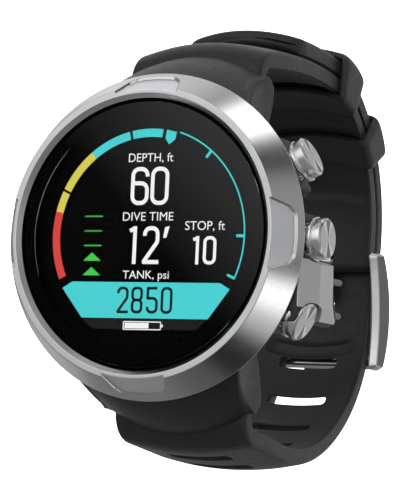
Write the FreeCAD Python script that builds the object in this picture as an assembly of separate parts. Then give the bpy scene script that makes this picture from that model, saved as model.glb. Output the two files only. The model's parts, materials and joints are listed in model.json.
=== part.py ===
"""Wrist dive computer with a closed rubber strap.

Frame: origin at the centre of the case back's outer face, +Z towards 12 o'clock, +X towards 3 o'clock,
-Y out of the dial. A height h above the case back is therefore y = -h. Millimetres.
"""
import FreeCAD, Part
import math
import os

from FreeCAD import Vector

os.makedirs("parts", exist_ok=True)

# ---------------------------------------------------------------- driving dimensions: watch head
BEZEL_R = 26.5               # widest radius of the steel bezel
BEZEL_BASE_H = 10.6          # height of the joint between bezel and case
BEZEL_EDGE_H = 11.0          # height of the widest edge
FRONT_H = 16.3               # height of the bezel's flat front ring
RING_OUT_R = 23.56           # front ring, outer edge
RING_IN_R = 22.5             # front ring, inner edge
GLASS_POCKET_R = 21.8        # wall of the pocket that holds the glass
GLASS_SEAT_H = 13.4          # ledge under the glass
GLASS_R = 21.3
GLASS_TOP_H = 15.4
GLASS_BEVEL = 0.55
LEDGE_R = 20.4               # opening below the glass
SPIGOT_R = 22.2              # case spigot that enters the bezel
SPIGOT_TOP_H = 12.5
SPIGOT_BORE_R = 22.3
POCKET_WIDTH_TOP = 11.3      # grip pockets in the bezel's side
POCKET_WIDTH_BOTTOM = 9.2
POCKET_LOW_H = 12.3
POCKET_DEPTH = 0.5

CASE_BACK_H = 0.4            # rear rim of the moulded case
CASE_REAR_R = 20.4
CASE_FRONT_R = 25.0
CAVITY_R = 19.6
STUD_TIP_Y = 5.4             # charging studs behind the flank
STUD_Z = (-5.9, -11.3)
STUD_R = 0.55
STUD_LENGTH = 4.25
CAVITY_FLOOR_H = 2.6
BACK_SEAT_R = 18.4           # counterbore for the case back
BACK_SEAT_H = 1.1
BACK_HOLE_R = 16.4
BACK_SCREW_PCD_R = 17.35
BACK_SCREW_COUNT = 4
SCREW_SHANK_R = 0.5
SCREW_HEAD_R = 0.75

LUG_BASE_Z = 17.0
HOOD_REAR_Y = 0.6            # rear face of the hoods over the strap ends
LUG_INNER_X = 12.2           # the 24 mm strap fits between the side horns
LUG_OUTER_X = 13.7
BAR_Y = 2.2                  # spring-bar axis
BAR_Z = 24.6

# ---------------------------------------------------------------- driving dimensions: pushers
PUSHER_H = 7.0               # pusher axis above the case back
PUSHER_ANGLES = {"upper_button": 27.5, "middle_button": 0.0, "lower_button": -27.5}
BOSS_FACE = 25.2             # radial distance of the bosses' outer ends
CAP_FACE = 28.7
CAP_REAR = 26.4
CAP_R = 3.3
CAP_FLANGE_R = 3.5
CAP_FLANGE_T = 0.6
STEM_R = 1.5
STEM_END = 19.0
BUSH_R = 2.6
BUSH_BORE_R = 1.53
BUSH_CUP_R = 2.3
BUSH_INNER_END = 20.1
BUSH_CUP_FLOOR = 23.2
SPRING_R = 1.95              # the spring is drawn as long as it is when fully pressed
SPRING_WIRE_R = 0.18
CLIP_R = 2.2
CLIP_T = 0.45
SEAL_WIRE_R = 0.24
PUSHER_TRAVEL = 1.0

FLANK_X = 26.2               # flank over the depth sensor
COVER_FACE_X = 27.3          # outer face of its steel cover
COVER_SEAT_X = 25.4          # floor of the recess the cover is let into
COVER_NOSE_X = 25.1          # its front end is thicker and runs up to the bezel
COVER_NOSE_Y = -7.6
COVER_SLOPE = ((25.5, -10.7), (27.4, -6.0))  # sloping front face, as (x, y) of its two ends
FLANK_REAR_Y = 3.3
FLANK_TOP_Z = -3.0
FLANK_LOW_Z = -13.4
BOSS_TOP_Z = 3.8

# ---------------------------------------------------------------- driving dimensions: strap
STRAP_T = 2.9
LAYER_GAP = 0.3              # between the short strap and the tail outside it
STRAP_HALF = 12.0            # half width at the lugs
STRAP_HALF_BACK = 10.9       # half width at the buckle
TAPER_FROM_Y = 12.0
TAPER_TO_Y = 44.0
STRAP_LUG_Y = 3.7            # inner face of the strap ends, behind the hoods
STRAP_LUG_Z = 23.1
CORNER_R = 2.0
CREST_R = 116.0              # gentle arc over the wrist
BACK_R = 22.6                # round back of the loop
CROWN_FRONT = 2.0            # rise of the curved section at mid width, near the lugs
CROWN_LOW = 1.5              # the same behind the lower lug
CROWN_BACK = 0.5             # and at the buckle, where the rubber lies flatter
TAIL_END_Y = 17.0
TAIL_CORNER_R = 4.0
SLOT_WIDTH = 11.0
SLOT_HEIGHT_IN = 1.9         # the slots widen outwards
SLOT_HEIGHT_OUT = 3.2
SLOT_PITCH = 8.3
SLOT_LEAN = {5: 2.0, 6: 0.9}  # how far the outer mouths of two slots lie up the strap, by slot number
SLOTS_BELOW = (13.8, 7)      # first slot's distance along the long strap, and how many up to the buckle
SLOTS_ABOVE = (88.5, 4)      # the same for the slots beyond the buckle
TONGUE_WIDTH = 6.4
TONGUE_T = 1.0

BUCKLE_ROD_R = 0.9
ARM_IN_X = 11.2
ARM_OUT_X = 12.8
END_BAR_R = 1.0

KEEPERS = {"upper_keeper": (72.0, 8.0), "lower_keeper": (37.0, 6.6)}    # angle up from +Y, length
KEEPER_WALL = 1.2
KEEPER_CLEAR = 0.25

made = {}


# ---------------------------------------------------------------- helpers
def save(name, shape):
    """Write one node, made of one solid or of a group of equal solids."""
    shape = shape.removeSplitter()
    made[name] = shape
    shape.exportStep("parts/" + name + ".step")


def disc(radius, low_h, high_h, x=0.0, z=0.0):
    """A cylinder standing on the dial axis, or beside it, between two heights."""
    return Part.makeCylinder(radius, high_h - low_h, Vector(x, -low_h, z), Vector(0, -1, 0))


def turned(outline):
    """A solid of revolution about the dial axis from (radius, height) points."""
    points = [Vector(radius, -height, 0) for radius, height in outline]
    points.append(points[0])
    face = Part.Face(Part.makePolygon(points))
    return face.revolve(Vector(0, 0, 0), Vector(0, 1, 0), 360)


def block(low, high):
    """A box between two corners."""
    size = [high[i] - low[i] for i in range(3)]
    return Part.makeBox(size[0], size[1], size[2], Vector(*low))


def slab(outline, low_x, high_x):
    """A prism along X from a (y, z) outline."""
    points = [Vector(low_x, y, z) for y, z in outline]
    points.append(points[0])
    return Part.Face(Part.makePolygon(points)).extrude(Vector(high_x - low_x, 0, 0))


def plan(outline, low_y, high_y):
    """A prism along Y from an (x, z) outline."""
    points = [Vector(x, low_y, z) for x, z in outline]
    points.append(points[0])
    return Part.Face(Part.makePolygon(points)).extrude(Vector(0, high_y - low_y, 0))


def radial(angle):
    """Direction in the plane of the dial, from 3 o'clock towards 12."""
    turn = math.radians(angle)
    return Vector(math.cos(turn), 0, math.sin(turn))


def rod(angle, start, end, radius, height=PUSHER_H):
    """A cylinder along a pusher's axis between two radial distances."""
    way = radial(angle)
    return Part.makeCylinder(radius, end - start, way * start + Vector(0, -height, 0), way)


def coil(centre, way, length, radius, wire_r, turns):
    """A round-wire compression spring from centre along way."""
    pitch = (length - 2 * wire_r) / turns
    helix = Part.makeHelix(pitch, length - 2 * wire_r, radius)
    section = Part.Wire(Part.makeCircle(wire_r, Vector(radius, 0, 0), Vector(0, 1, 0)))
    spring = Part.Wire(helix.Edges).makePipeShell([section], True, True)
    spring.rotate(Vector(0, 0, 0), Vector(0, 0, 1), 20)
    spring.translate(Vector(0, 0, wire_r))
    spring.Placement = FreeCAD.Placement(centre, FreeCAD.Rotation(Vector(0, 0, 1), way)).multiply(spring.Placement)
    return spring


def torus(centre, way, major, minor):
    return Part.makeTorus(major, minor, centre, way)


# ---------------------------------------------------------------- strap paths in the (y, z) plane
class Path:
    """A chain of straight runs and left-hand arcs. The outside of the loop is on its right."""

    def __init__(self, y, z, heading):
        self.y = y
        self.z = z
        self.heading = heading
        self.runs = []

    def line(self, length):
        turn = math.radians(self.heading)
        self.runs.append((self.y, self.z, self.heading, length, 0.0))
        self.y += length * math.cos(turn)
        self.z += length * math.sin(turn)
        return self

    def arc(self, radius, degrees):
        self.runs.append((self.y, self.z, self.heading, radius, degrees))
        start = math.radians(self.heading)
        end = math.radians(self.heading + degrees)
        self.y += radius * (math.sin(end) - math.sin(start))
        self.z += radius * (math.cos(start) - math.cos(end))
        self.heading += degrees
        return self

    def edges(self, x, offset):
        """The path moved outwards by offset, as edges in the plane of constant x."""
        out = []
        for y, z, heading, size, degrees in self.runs:
            points = []
            for share in (0.0, 0.5, 1.0):
                py, pz, bend = run_point(y, z, heading, size, degrees, share)
                turn = math.radians(bend)
                points.append(Vector(x, py + offset * math.sin(turn), pz - offset * math.cos(turn)))
            out.append(points)
        return out

    def outline(self, x, inner, outer):
        """Closed side outline between two offsets."""
        low = self.edges(x, inner)
        high = self.edges(x, outer)
        edges = [span(points, run[4]) for points, run in zip(low, self.runs)]
        edges.append(Part.LineSegment(low[-1][2], high[-1][2]).toShape())
        for points, run in reversed(list(zip(high, self.runs))):
            edges.append(span(points[::-1], run[4]))
        edges.append(Part.LineSegment(high[0][0], low[0][0]).toShape())
        return Part.Wire(edges)


def run_point(y, z, heading, size, degrees, share):
    """Place and heading part of the way along one run."""
    bend = heading + share * degrees
    if degrees:
        y += size * (math.sin(math.radians(bend)) - math.sin(math.radians(heading)))
        z += size * (math.cos(math.radians(heading)) - math.cos(math.radians(bend)))
    else:
        y += share * size * math.cos(math.radians(bend))
        z += share * size * math.sin(math.radians(bend))
    return y, z, bend


def span(points, degrees):
    if degrees:
        return Part.Arc(points[0], points[1], points[2]).toShape()
    return Part.LineSegment(points[0], points[2]).toShape()


def normal(heading):
    """Outward direction at a heading."""
    return math.sin(math.radians(heading)), -math.cos(math.radians(heading))


def arc_shift(radius, start, end):
    """Displacement along a left-hand arc between two headings."""
    a = math.radians(start)
    b = math.radians(end)
    return radius * (math.sin(b) - math.sin(a)), radius * (math.cos(a) - math.cos(b))


def lofted(path_at, half, inner, outer):
    """A solid across the strap's width through side outlines that follow its curved section."""
    wires = []
    for share in (-1.0, -0.5, 0.0, 0.5, 1.0):
        x = share * half
        wires.append(path_at(x).outline(x, inner, outer))
    return Part.makeLoft(wires, True, False)


def crown(x, rise):
    """Rise of the curved section above its edges."""
    return rise * (1.0 - (x / STRAP_HALF) ** 2)


BACK_HEADING = 85.0          # both straps run this way at the buckle
CREST_HEADING = 175.0
HOOD_HEADING = 189.0
BUCKLE_RUN = 5.4             # straight end of the short strap, down to the buckle rod
SHORT_CORNER_Z = 27.5
LONG_CORNER_Z = -28.0
LOWER_STRAIGHT = 12.0        # straight run behind the lower lug
LOWER_HEADINGS = (-9.0, 30.0, 75.0)
LOWER_R = 37.4
TAIL_OVER_CREST = 9.5        # degrees of the gentle arc that the tail covers
LAYER = STRAP_T + LAYER_GAP

CORNER_Y = STRAP_LUG_Y + CORNER_R
HOOD_N = normal(HOOD_HEADING)
CREST_CENTRE = (CORNER_Y - (CREST_R - CORNER_R) * HOOD_N[0], SHORT_CORNER_Z - (CREST_R - CORNER_R) * HOOD_N[1])
CREST_N = normal(CREST_HEADING)
BACK_N = normal(BACK_HEADING)
LOOP_CENTRE = (CREST_CENTRE[0] + (CREST_R - BACK_R) * CREST_N[0],
               CREST_CENTRE[1] + (CREST_R - BACK_R) * CREST_N[1])
BACK_T = (math.cos(math.radians(BACK_HEADING)), math.sin(math.radians(BACK_HEADING)))
SHORT_END = (LOOP_CENTRE[0] + BACK_R * BACK_N[0] - BUCKLE_RUN * BACK_T[0],
             LOOP_CENTRE[1] + BACK_R * BACK_N[1] - BUCKLE_RUN * BACK_T[1])


def back_centre(x):
    """Centre of the round back in a plane of constant x."""
    lift = crown(x, CROWN_FRONT) - crown(x, CROWN_BACK)
    return LOOP_CENTRE[0] + lift * CREST_N[0], LOOP_CENTRE[1] + lift * CREST_N[1]


def short_path(x):
    """The short strap's wrist side, from the buckle rod over the top to the upper lug."""
    front = crown(x, CROWN_FRONT)
    radius = BACK_R + crown(x, CROWN_BACK)
    centre = back_centre(x)
    y = centre[0] + radius * BACK_N[0]
    z = centre[1] + radius * BACK_N[1]
    run = (y - SHORT_END[0]) * BACK_T[0] + (z - SHORT_END[1]) * BACK_T[1]
    path = Path(y - run * BACK_T[0], z - run * BACK_T[1], BACK_HEADING)
    path.line(run)
    path.arc(radius, CREST_HEADING - BACK_HEADING)
    hood = 180.0 + math.degrees(math.asin((CREST_CENTRE[0] - CORNER_Y) / (CREST_R + front - CORNER_R)))
    path.arc(CREST_R + front, hood - CREST_HEADING)
    path.arc(CORNER_R, 270 - hood)
    path.line(path.z - STRAP_LUG_Z)
    return path


def long_path(x):
    """The long strap's wrist side, from the lower lug round the back to its tail outside the short strap."""
    front = crown(x, CROWN_LOW)
    slope = math.radians(LOWER_HEADINGS[0])
    radius = BACK_R + crown(x, CROWN_BACK) + LAYER
    centre = back_centre(x)
    path = Path(STRAP_LUG_Y, -STRAP_LUG_Z, -90.0)
    path.line(-STRAP_LUG_Z - (LONG_CORNER_Z - front / math.cos(slope)))
    path.arc(CORNER_R, 90 + LOWER_HEADINGS[0])
    path.line(LOWER_STRAIGHT + front * math.tan(slope))
    path.arc(LOWER_R + front, LOWER_HEADINGS[1] - LOWER_HEADINGS[0])
    first = arc_shift(1.0, LOWER_HEADINGS[1], LOWER_HEADINGS[2])
    second = arc_shift(1.0, LOWER_HEADINGS[2], BACK_HEADING)
    need_y = centre[0] + radius * BACK_N[0] - path.y
    need_z = centre[1] + radius * BACK_N[1] - path.z
    det = first[0] * second[1] - first[1] * second[0]
    path.arc((need_y * second[1] - need_z * second[0]) / det, LOWER_HEADINGS[2] - LOWER_HEADINGS[1])
    path.arc((need_z * first[0] - need_y * first[1]) / det, BACK_HEADING - LOWER_HEADINGS[2])
    path.arc(radius, CREST_HEADING - BACK_HEADING)
    path.arc(CREST_R + crown(x, CROWN_FRONT) + LAYER, TAIL_OVER_CREST)
    return path


def point_on(path, run_index, share, offset):
    """A point (y, z) beside a path and the heading there."""
    y, z, bend = run_point(*path.runs[run_index], share)
    out = normal(bend)
    return y + offset * out[0], z + offset * out[1], bend


# ---------------------------------------------------------------- case, bezel and glass
def lug_section(y, half, crest, shoulder):
    """Cross-section of a lug hood in a plane of constant y, open towards the case."""
    corner = 1.7
    low_left = Vector(-half, y, LUG_BASE_Z)
    low_right = Vector(half, y, LUG_BASE_Z)
    side = shoulder - corner
    bend = corner * (1 - math.sqrt(0.5))
    right = Part.Arc(Vector(half, y, side), Vector(half - bend, y, shoulder - bend),
                     Vector(half - corner, y, shoulder)).toShape()
    crown = Part.Arc(Vector(half - corner, y, shoulder), Vector(0, y, crest),
                     Vector(corner - half, y, shoulder)).toShape()
    left = Part.Arc(Vector(corner - half, y, shoulder), Vector(bend - half, y, shoulder - bend),
                    Vector(-half, y, side)).toShape()
    edges = [Part.LineSegment(low_left, low_right).toShape(),
             Part.LineSegment(low_right, Vector(half, y, side)).toShape(), right, crown, left,
             Part.LineSegment(Vector(-half, y, side), low_left).toShape()]
    return Part.Wire(edges)


def lug():
    """The 12 o'clock hood with its two side horns."""
    sections = [lug_section(-BEZEL_BASE_H, 16.2, 24.9, 20.6),
                lug_section(-5.4, 14.3, 28.7, 25.2),
                lug_section(HOOD_REAR_Y, LUG_OUTER_X, 31.2, 27.9)]
    hood = Part.makeLoft(sections, True, False)
    horn_side = [(-3.0, 17.6), (0.8, 17.6), (2.4, 21.5), (3.3, 24.4), (3.2, 26.0), (2.0, 27.2),
                 (HOOD_REAR_Y, 27.6), (-3.0, 25.6)]
    right = slab(horn_side, LUG_INNER_X, LUG_OUTER_X)
    left = slab(horn_side, -LUG_OUTER_X, -LUG_INNER_X)
    return hood.fuse([right, left])


def mirrored_z(shape):
    return shape.mirror(Vector(0, 0, 0), Vector(0, 0, 1))


def pusher_boss(angle):
    """Block of case material round one pusher bore."""
    wide = 5.2 if angle > 0 else 4.0
    boss = block((15.0, -BEZEL_BASE_H, -4.0), (BOSS_FACE, -2.4, wide))
    cut = slab([(-2.3, -7.0), (-2.3, 7.0), (-3.6, 7.0), (-3.6, -7.0)], BOSS_FACE - 1.2, BOSS_FACE + 1)
    cut.rotate(Vector(BOSS_FACE, -2.4, 0), Vector(0, 0, 1), -30)
    boss = boss.cut(cut)
    boss.rotate(Vector(0, 0, 0), Vector(0, 1, 0), -angle)
    return boss


def flank():
    """Deep block at the side of the case over the depth sensor, between the middle and lower pushers."""
    outline = [(18.0, BOSS_TOP_Z), (BOSS_FACE - 0.6, BOSS_TOP_Z), (BOSS_FACE, BOSS_TOP_Z - 0.6),
               (BOSS_FACE, FLANK_TOP_Z), (FLANK_X, FLANK_TOP_Z), (FLANK_X, FLANK_LOW_Z + 1.5),
               (FLANK_X - 1.5, FLANK_LOW_Z), (16.0, FLANK_LOW_Z)]
    front = plan(outline, -BEZEL_BASE_H, -1.6)
    rear_outline = [(18.0, FLANK_TOP_Z), (FLANK_X, FLANK_TOP_Z), (FLANK_X, FLANK_LOW_Z + 1.5),
                    (FLANK_X - 1.5, FLANK_LOW_Z), (16.0, FLANK_LOW_Z)]
    rear = plan(rear_outline, -2.0, FLANK_REAR_Y)
    slope = slab([(FLANK_REAR_Y + 1, FLANK_TOP_Z + 1), (FLANK_REAR_Y + 1, FLANK_LOW_Z - 1),
                  (-0.2, FLANK_TOP_Z + 1)], 15.0, FLANK_X + 1)
    outside = disc(BACK_SEAT_R + 2.6, -FLANK_REAR_Y - 1, CASE_BACK_H)
    return front.fuse(rear.cut(slope).cut(outside)).cut(front_slope(FLANK_LOW_Z - 1))


def front_slope(low_z):
    """Waste in front of the sloping face between the bezel's edge and the flank, up from a height."""
    (near_x, near_y), (far_x, far_y) = COVER_SLOPE
    outline = [(near_x, near_y), (far_x, far_y), (far_x + 2, far_y), (far_x + 2, near_y - 1), (near_x, near_y - 1)]
    points = [Vector(x, y, low_z) for x, y in outline]
    points.append(points[0])
    return Part.Face(Part.makePolygon(points)).extrude(Vector(0, 0, FLANK_TOP_Z - low_z))


SKIRT_OUTLINE = [(-10.55, -3.3), (-0.8, -3.3), (-0.2, -6.8), (2.9, -12.3), (2.4, -12.8), (-3.6, -12.8),
                 (-6.4, -11.0), (-10.55, -10.9)]
FACE_OUTLINE = [(-10.55, -4.3), (-1.2, -3.7), (-1.0, -6.8), (-1.0, -10.3), (-1.4, -10.8), (-4.2, -10.8),
                (-6.6, -10.8), (-10.55, -10.8)]
NOSE_OUTLINE = [(-10.55, -4.4), (COVER_NOSE_Y, -4.1), (COVER_NOSE_Y, -10.8), (-10.55, -10.8)]


def cover_plate():
    """Steel cover let into the flank: a flat face with a sloping skirt below and behind it."""
    seat = slab(SKIRT_OUTLINE, COVER_SEAT_X, FLANK_X)
    wires = []
    for x, outline in ((FLANK_X, SKIRT_OUTLINE), (COVER_FACE_X, FACE_OUTLINE)):
        points = [Vector(x, y, z) for y, z in outline]
        wires.append(Part.makePolygon(points + [points[0]]))
    skirt = Part.makeLoft(wires, True, True)
    return seat.fuse([skirt, slab(NOSE_OUTLINE, COVER_NOSE_X, FLANK_X)])


def cap_recesses():
    """Room in the flank for the two pusher caps beside it, wider where their flanges move."""
    room = []
    for name in ("middle_button", "lower_button"):
        room.append(rod(PUSHER_ANGLES[name], BOSS_FACE, CAP_REAR + CAP_FLANGE_T + 0.15, CAP_FLANGE_R + 0.15))
        room.append(rod(PUSHER_ANGLES[name], CAP_REAR, CAP_FACE + 4, CAP_R + 0.14))
    return room


def spring_bar_holes():
    holes = []
    for side in (1, -1):
        for way in (1, -1):
            holes.append(Part.makeCylinder(0.62, 1.85, Vector(side * 11.6, BAR_Y, way * BAR_Z), Vector(side, 0, 0)))
    return holes


def mid_case():
    body = turned([(0, CASE_BACK_H), (CASE_REAR_R - 1.0, CASE_BACK_H), (CASE_REAR_R, CASE_BACK_H + 0.8),
                   (CASE_FRONT_R, BEZEL_BASE_H), (SPIGOT_R, BEZEL_BASE_H), (SPIGOT_R, SPIGOT_TOP_H),
                   (0, SPIGOT_TOP_H)])
    top = lug()
    adds = [top, mirrored_z(top), flank()]
    for angle in PUSHER_ANGLES.values():
        adds.append(pusher_boss(angle))
    body = body.fuse(adds)
    cuts = [disc(CAVITY_R, CAVITY_FLOOR_H, SPIGOT_TOP_H + 1), disc(BACK_SEAT_R, -4, BACK_SEAT_H),
            disc(BACK_HOLE_R, -1, CAVITY_FLOOR_H + 1)]
    cuts.append(turned([(21.2, 11.0), (SPIGOT_R + 0.5, 11.0), (SPIGOT_R + 0.5, 12.0), (21.2, 12.0)]))
    for angle in PUSHER_ANGLES.values():
        cuts.append(rod(angle, CAVITY_R - 2.5, BOSS_FACE + 4, BUSH_R))
    cuts += cap_recesses()
    cuts.append(cover_plate())
    cuts.append(sensor_body(0.0))
    for index in range(BACK_SCREW_COUNT):
        turn = radial(45 + 90 * index) * BACK_SCREW_PCD_R
        cuts.append(disc(SCREW_SHANK_R, -1, CAVITY_FLOOR_H - 0.5, turn.x, turn.z))
    cuts += spring_bar_holes()
    cuts += contact_studs()
    return body.cut(cuts)


def bezel():
    ring = turned([(SPIGOT_BORE_R, BEZEL_BASE_H), (BEZEL_R - 0.4, BEZEL_BASE_H), (BEZEL_R, BEZEL_EDGE_H),
                   (RING_OUT_R, FRONT_H), (RING_IN_R, FRONT_H), (GLASS_POCKET_R, 15.5),
                   (GLASS_POCKET_R, GLASS_SEAT_H), (LEDGE_R, GLASS_SEAT_H), (LEDGE_R, 12.6),
                   (SPIGOT_BORE_R, 12.6)])
    slope = (BEZEL_R - RING_OUT_R) / (FRONT_H - BEZEL_EDGE_H)
    high = FRONT_H + 1
    inner = turned([(0, 10.0), (BEZEL_R - POCKET_DEPTH + slope * 1.0, 10.0),
                    (RING_OUT_R - POCKET_DEPTH - slope * 1.0, high), (0, high)])
    bottom = POCKET_WIDTH_BOTTOM / 2
    top = POCKET_WIDTH_TOP / 2
    grow = (top - bottom) / (FRONT_H - POCKET_LOW_H)
    wedge = [(bottom - 1.2, -POCKET_LOW_H), (bottom, -POCKET_LOW_H - 0.9), (top + grow, -high),
             (-top - grow, -high), (-bottom, -POCKET_LOW_H - 0.9), (1.2 - bottom, -POCKET_LOW_H)]
    points = [Vector(15.0, y, x) for x, y in wedge]
    points.append(points[0])
    cutter = Part.Face(Part.makePolygon(points)).extrude(Vector(15.0, 0, 0)).cut(inner)
    for angle in (0, 90, 180, 270):
        tool = cutter.copy()
        tool.rotate(Vector(0, 0, 0), Vector(0, 1, 0), -angle)
        ring = ring.cut(tool)
    return ring


def crystal():
    return turned([(0, GLASS_SEAT_H), (GLASS_R, GLASS_SEAT_H), (GLASS_R, GLASS_TOP_H - GLASS_BEVEL),
                   (GLASS_R - GLASS_BEVEL, GLASS_TOP_H), (0, GLASS_TOP_H)])


def ring(inner, outer, low, high):
    return turned([(inner, low), (outer, low), (outer, high), (inner, high)])


def case_back():
    back = turned([(0, 0), (BACK_SEAT_R - 0.5, 0), (BACK_SEAT_R - 0.1, 0.35), (BACK_SEAT_R - 0.1, BACK_SEAT_H),
                   (BACK_HOLE_R - 0.05, BACK_SEAT_H), (BACK_HOLE_R - 0.05, 1.3), (BACK_HOLE_R - 0.9, 1.3),
                   (BACK_HOLE_R - 0.9, 2.1), (BACK_HOLE_R - 0.05, 2.1), (BACK_HOLE_R - 0.05, 2.5), (0, 2.5)])
    for index in range(BACK_SCREW_COUNT):
        turn = radial(45 + 90 * index) * BACK_SCREW_PCD_R
        back = back.cut(disc(SCREW_SHANK_R, -1, 3, turn.x, turn.z))
        back = back.cut(disc(SCREW_HEAD_R, -1, 0.5, turn.x, turn.z))
    return back


def case_back_screws():
    screws = []
    for index in range(BACK_SCREW_COUNT):
        turn = radial(45 + 90 * index) * BACK_SCREW_PCD_R
        screw = disc(SCREW_HEAD_R, 0.02, 0.5, turn.x, turn.z)
        screw = screw.fuse(disc(SCREW_SHANK_R, 0.5, CAVITY_FLOOR_H - 0.5, turn.x, turn.z))
        slot = block((-1.0, -0.3, -0.12), (1.0, 0.0, 0.12))
        slot.rotate(Vector(0, 0, 0), Vector(0, 1, 0), 20 + 77 * index)
        slot.translate(Vector(turn.x, 0, turn.z))
        screws.append(screw.cut(slot))
    return Part.makeCompound(screws)


# ---------------------------------------------------------------- inside the case
def chassis():
    """Moulded frame that locates battery, board and display."""
    body = ring(18.6, 19.5, 8.4, 11.8).fuse(disc(18.8, 8.4, 8.9))
    window = block((-9.0, -9.5, -7.0), (9.0, -8.0, 7.0))
    body = body.cut(window)
    for angle in PUSHER_ANGLES.values():
        body = body.cut(rod(angle, 15.0, 21.0, 2.5))
    return body


def circuit_board():
    board = disc(18.5, 8.9, 9.8)
    chips = [block((-6.0, -10.8, -5.0), (1.0, -9.8, 2.0)), block((3.5, -10.5, -4.0), (8.0, -9.8, 1.0)),
             block((-11.0, -10.4, 4.0), (-5.0, -9.8, 8.0)), block((-3.0, -11.2, 8.5), (7.0, -9.8, 11.5)),
             block((-9.0, -10.9, -12.0), (-4.0, -9.8, -9.0)), block((1.0, -10.3, -11.0), (4.0, -9.8, -8.0))]
    return board.fuse(chips)


def battery():
    cell = block((-12.0, -7.4, -11.0), (12.0, -2.9, 11.0))
    corners = [edge for edge in cell.Edges if abs(edge.Length - 4.5) < 0.01]
    return cell.makeFillet(2.0, corners)


MOTOR_X = -15.4
MOTOR_H = 5.0


def vibration_motor():
    can = Part.makeCylinder(2.0, 6.0, Vector(MOTOR_X, -MOTOR_H, -5.0), Vector(0, 0, 1))
    foot = block((MOTOR_X - 1.2, -MOTOR_H + 1.2, -4.6), (MOTOR_X + 1.2, -CAVITY_FLOOR_H, 0.6))
    nose = Part.makeCylinder(0.8, 0.5, Vector(MOTOR_X, -MOTOR_H, 1.0), Vector(0, 0, 1))
    bore = Part.makeCylinder(0.34, 3.0, Vector(MOTOR_X, -MOTOR_H, -1.0), Vector(0, 0, 1))
    return can.fuse([foot, nose]).cut(bore)


def motor_rotor():
    shaft = Part.makeCylinder(0.3, 5.0, Vector(MOTOR_X, -MOTOR_H, -0.9), Vector(0, 0, 1))
    weight = Part.makeCylinder(1.9, 2.6, Vector(MOTOR_X, -MOTOR_H, 1.7), Vector(0, 0, 1))
    half = block((MOTOR_X - 3.0, -MOTOR_H + 0.5, 0.0), (MOTOR_X + 3.0, -MOTOR_H + 3.0, 6.0))
    hub = Part.makeCylinder(0.8, 2.6, Vector(MOTOR_X, -MOTOR_H, 1.7), Vector(0, 0, 1))
    return weight.cut(half).fuse([hub, shaft])


def tact_switches():
    """Three snap switches that the pusher stems press."""
    group = []
    for angle in PUSHER_ANGLES.values():
        base = block((16.6, -PUSHER_H - 1.6, -1.9), (17.3, -PUSHER_H + 1.6, 1.9))
        dome = Part.makeCylinder(1.1, 0.65, Vector(17.3, -PUSHER_H, 0), Vector(1, 0, 0))
        switch = base.fuse(dome)
        switch.rotate(Vector(0, 0, 0), Vector(0, 1, 0), -angle)
        group.append(switch)
    return Part.makeCompound(group)


SENSOR_Z = -6.6


def sensor_body(clear):
    """Depth sensor can, in a pocket behind the cover plate."""
    start = Vector(COVER_SEAT_X - 2.8 - clear, -5.6, SENSOR_Z)
    return Part.makeCylinder(1.7 + clear, 2.8 + clear, start, Vector(1, 0, 0))


def contact_studs(clear=0.0):
    """Two gold-plated studs on the rear of the flank, for the charging clip."""
    studs = []
    for z in STUD_Z:
        tip = Vector(FLANK_X - 0.6, STUD_TIP_Y, z)
        studs.append(Part.makeCylinder(STUD_R + clear, STUD_LENGTH + clear, tip, Vector(0, -1, 0)))
    return studs


def sensor_cover():
    return cover_plate().cut(cap_recesses() + [front_slope(FLANK_LOW_Z - 1)] + contact_studs(0.1))


# ---------------------------------------------------------------- pushers
def pusher(name, angle):
    way = radial(angle)
    base = Vector(0, -PUSHER_H, 0)
    cap = rod(angle, CAP_REAR, CAP_REAR + CAP_FLANGE_T, CAP_FLANGE_R)
    barrel = rod(angle, CAP_REAR + CAP_FLANGE_T + 0.35, CAP_FACE, CAP_R)
    rims = [edge for edge in barrel.Edges if edge.Length > 15 and
            abs(edge.CenterOfMass.dot(way) - CAP_FACE) < 0.01]
    barrel = barrel.makeChamfer(0.3, rims)
    neck = rod(angle, CAP_REAR, CAP_FACE - 0.5, CAP_R - 0.4)
    stem = rod(angle, STEM_END, CAP_REAR + 0.2, STEM_R)
    button = cap.fuse([barrel, neck, stem])
    clip_groove = rod(angle, 19.62, 20.1, STEM_R + 0.5).cut(rod(angle, 19.0, 21.0, 1.1))
    seal_groove = rod(angle, 22.0, 22.55, STEM_R + 0.5).cut(rod(angle, 21.0, 23.2, 1.02))
    button = button.cut([clip_groove, seal_groove])
    save(name, button)

    bush = rod(angle, BUSH_INNER_END, BOSS_FACE, BUSH_R)
    bush = bush.cut([rod(angle, BUSH_INNER_END - 1, BOSS_FACE + 1, BUSH_BORE_R),
                     rod(angle, BUSH_CUP_FLOOR, BOSS_FACE + 1, BUSH_CUP_R)])
    save(name + "_bush", bush)

    start = BUSH_CUP_FLOOR + PUSHER_TRAVEL + 0.05
    spring = coil(base + way * start, way, CAP_REAR - start, SPRING_R, SPRING_WIRE_R, 4)
    save(name + "_spring", spring)

    seal = torus(base + way * 22.275, way, 1.27, SEAL_WIRE_R)
    save(name + "_seal", seal)

    clip = rod(angle, 19.64, 19.64 + CLIP_T - 0.02, CLIP_R).cut(rod(angle, 19.0, 21.0, 1.1))
    gap = block((19.0, -PUSHER_H, -0.7), (21.0, -PUSHER_H + 4.0, 0.7))
    gap.rotate(Vector(0, 0, 0), Vector(0, 1, 0), -angle)
    save(name + "_clip", clip.cut(gap))


# ---------------------------------------------------------------- spring bars
BAR_TUBE_R = 0.9
BAR_BORE_R = 0.6
BAR_PIN_R = 0.57
BAR_TUBE_HALF = 11.8
PIN_TIP_X = 13.4
PIN_INNER_X = 3.5            # the spring is drawn as long as it is when the tab is pulled right back
TAB_LOW_X = 7.0
TAB_HIGH_X = 8.6
TAB_TRAVEL = 1.5


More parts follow.
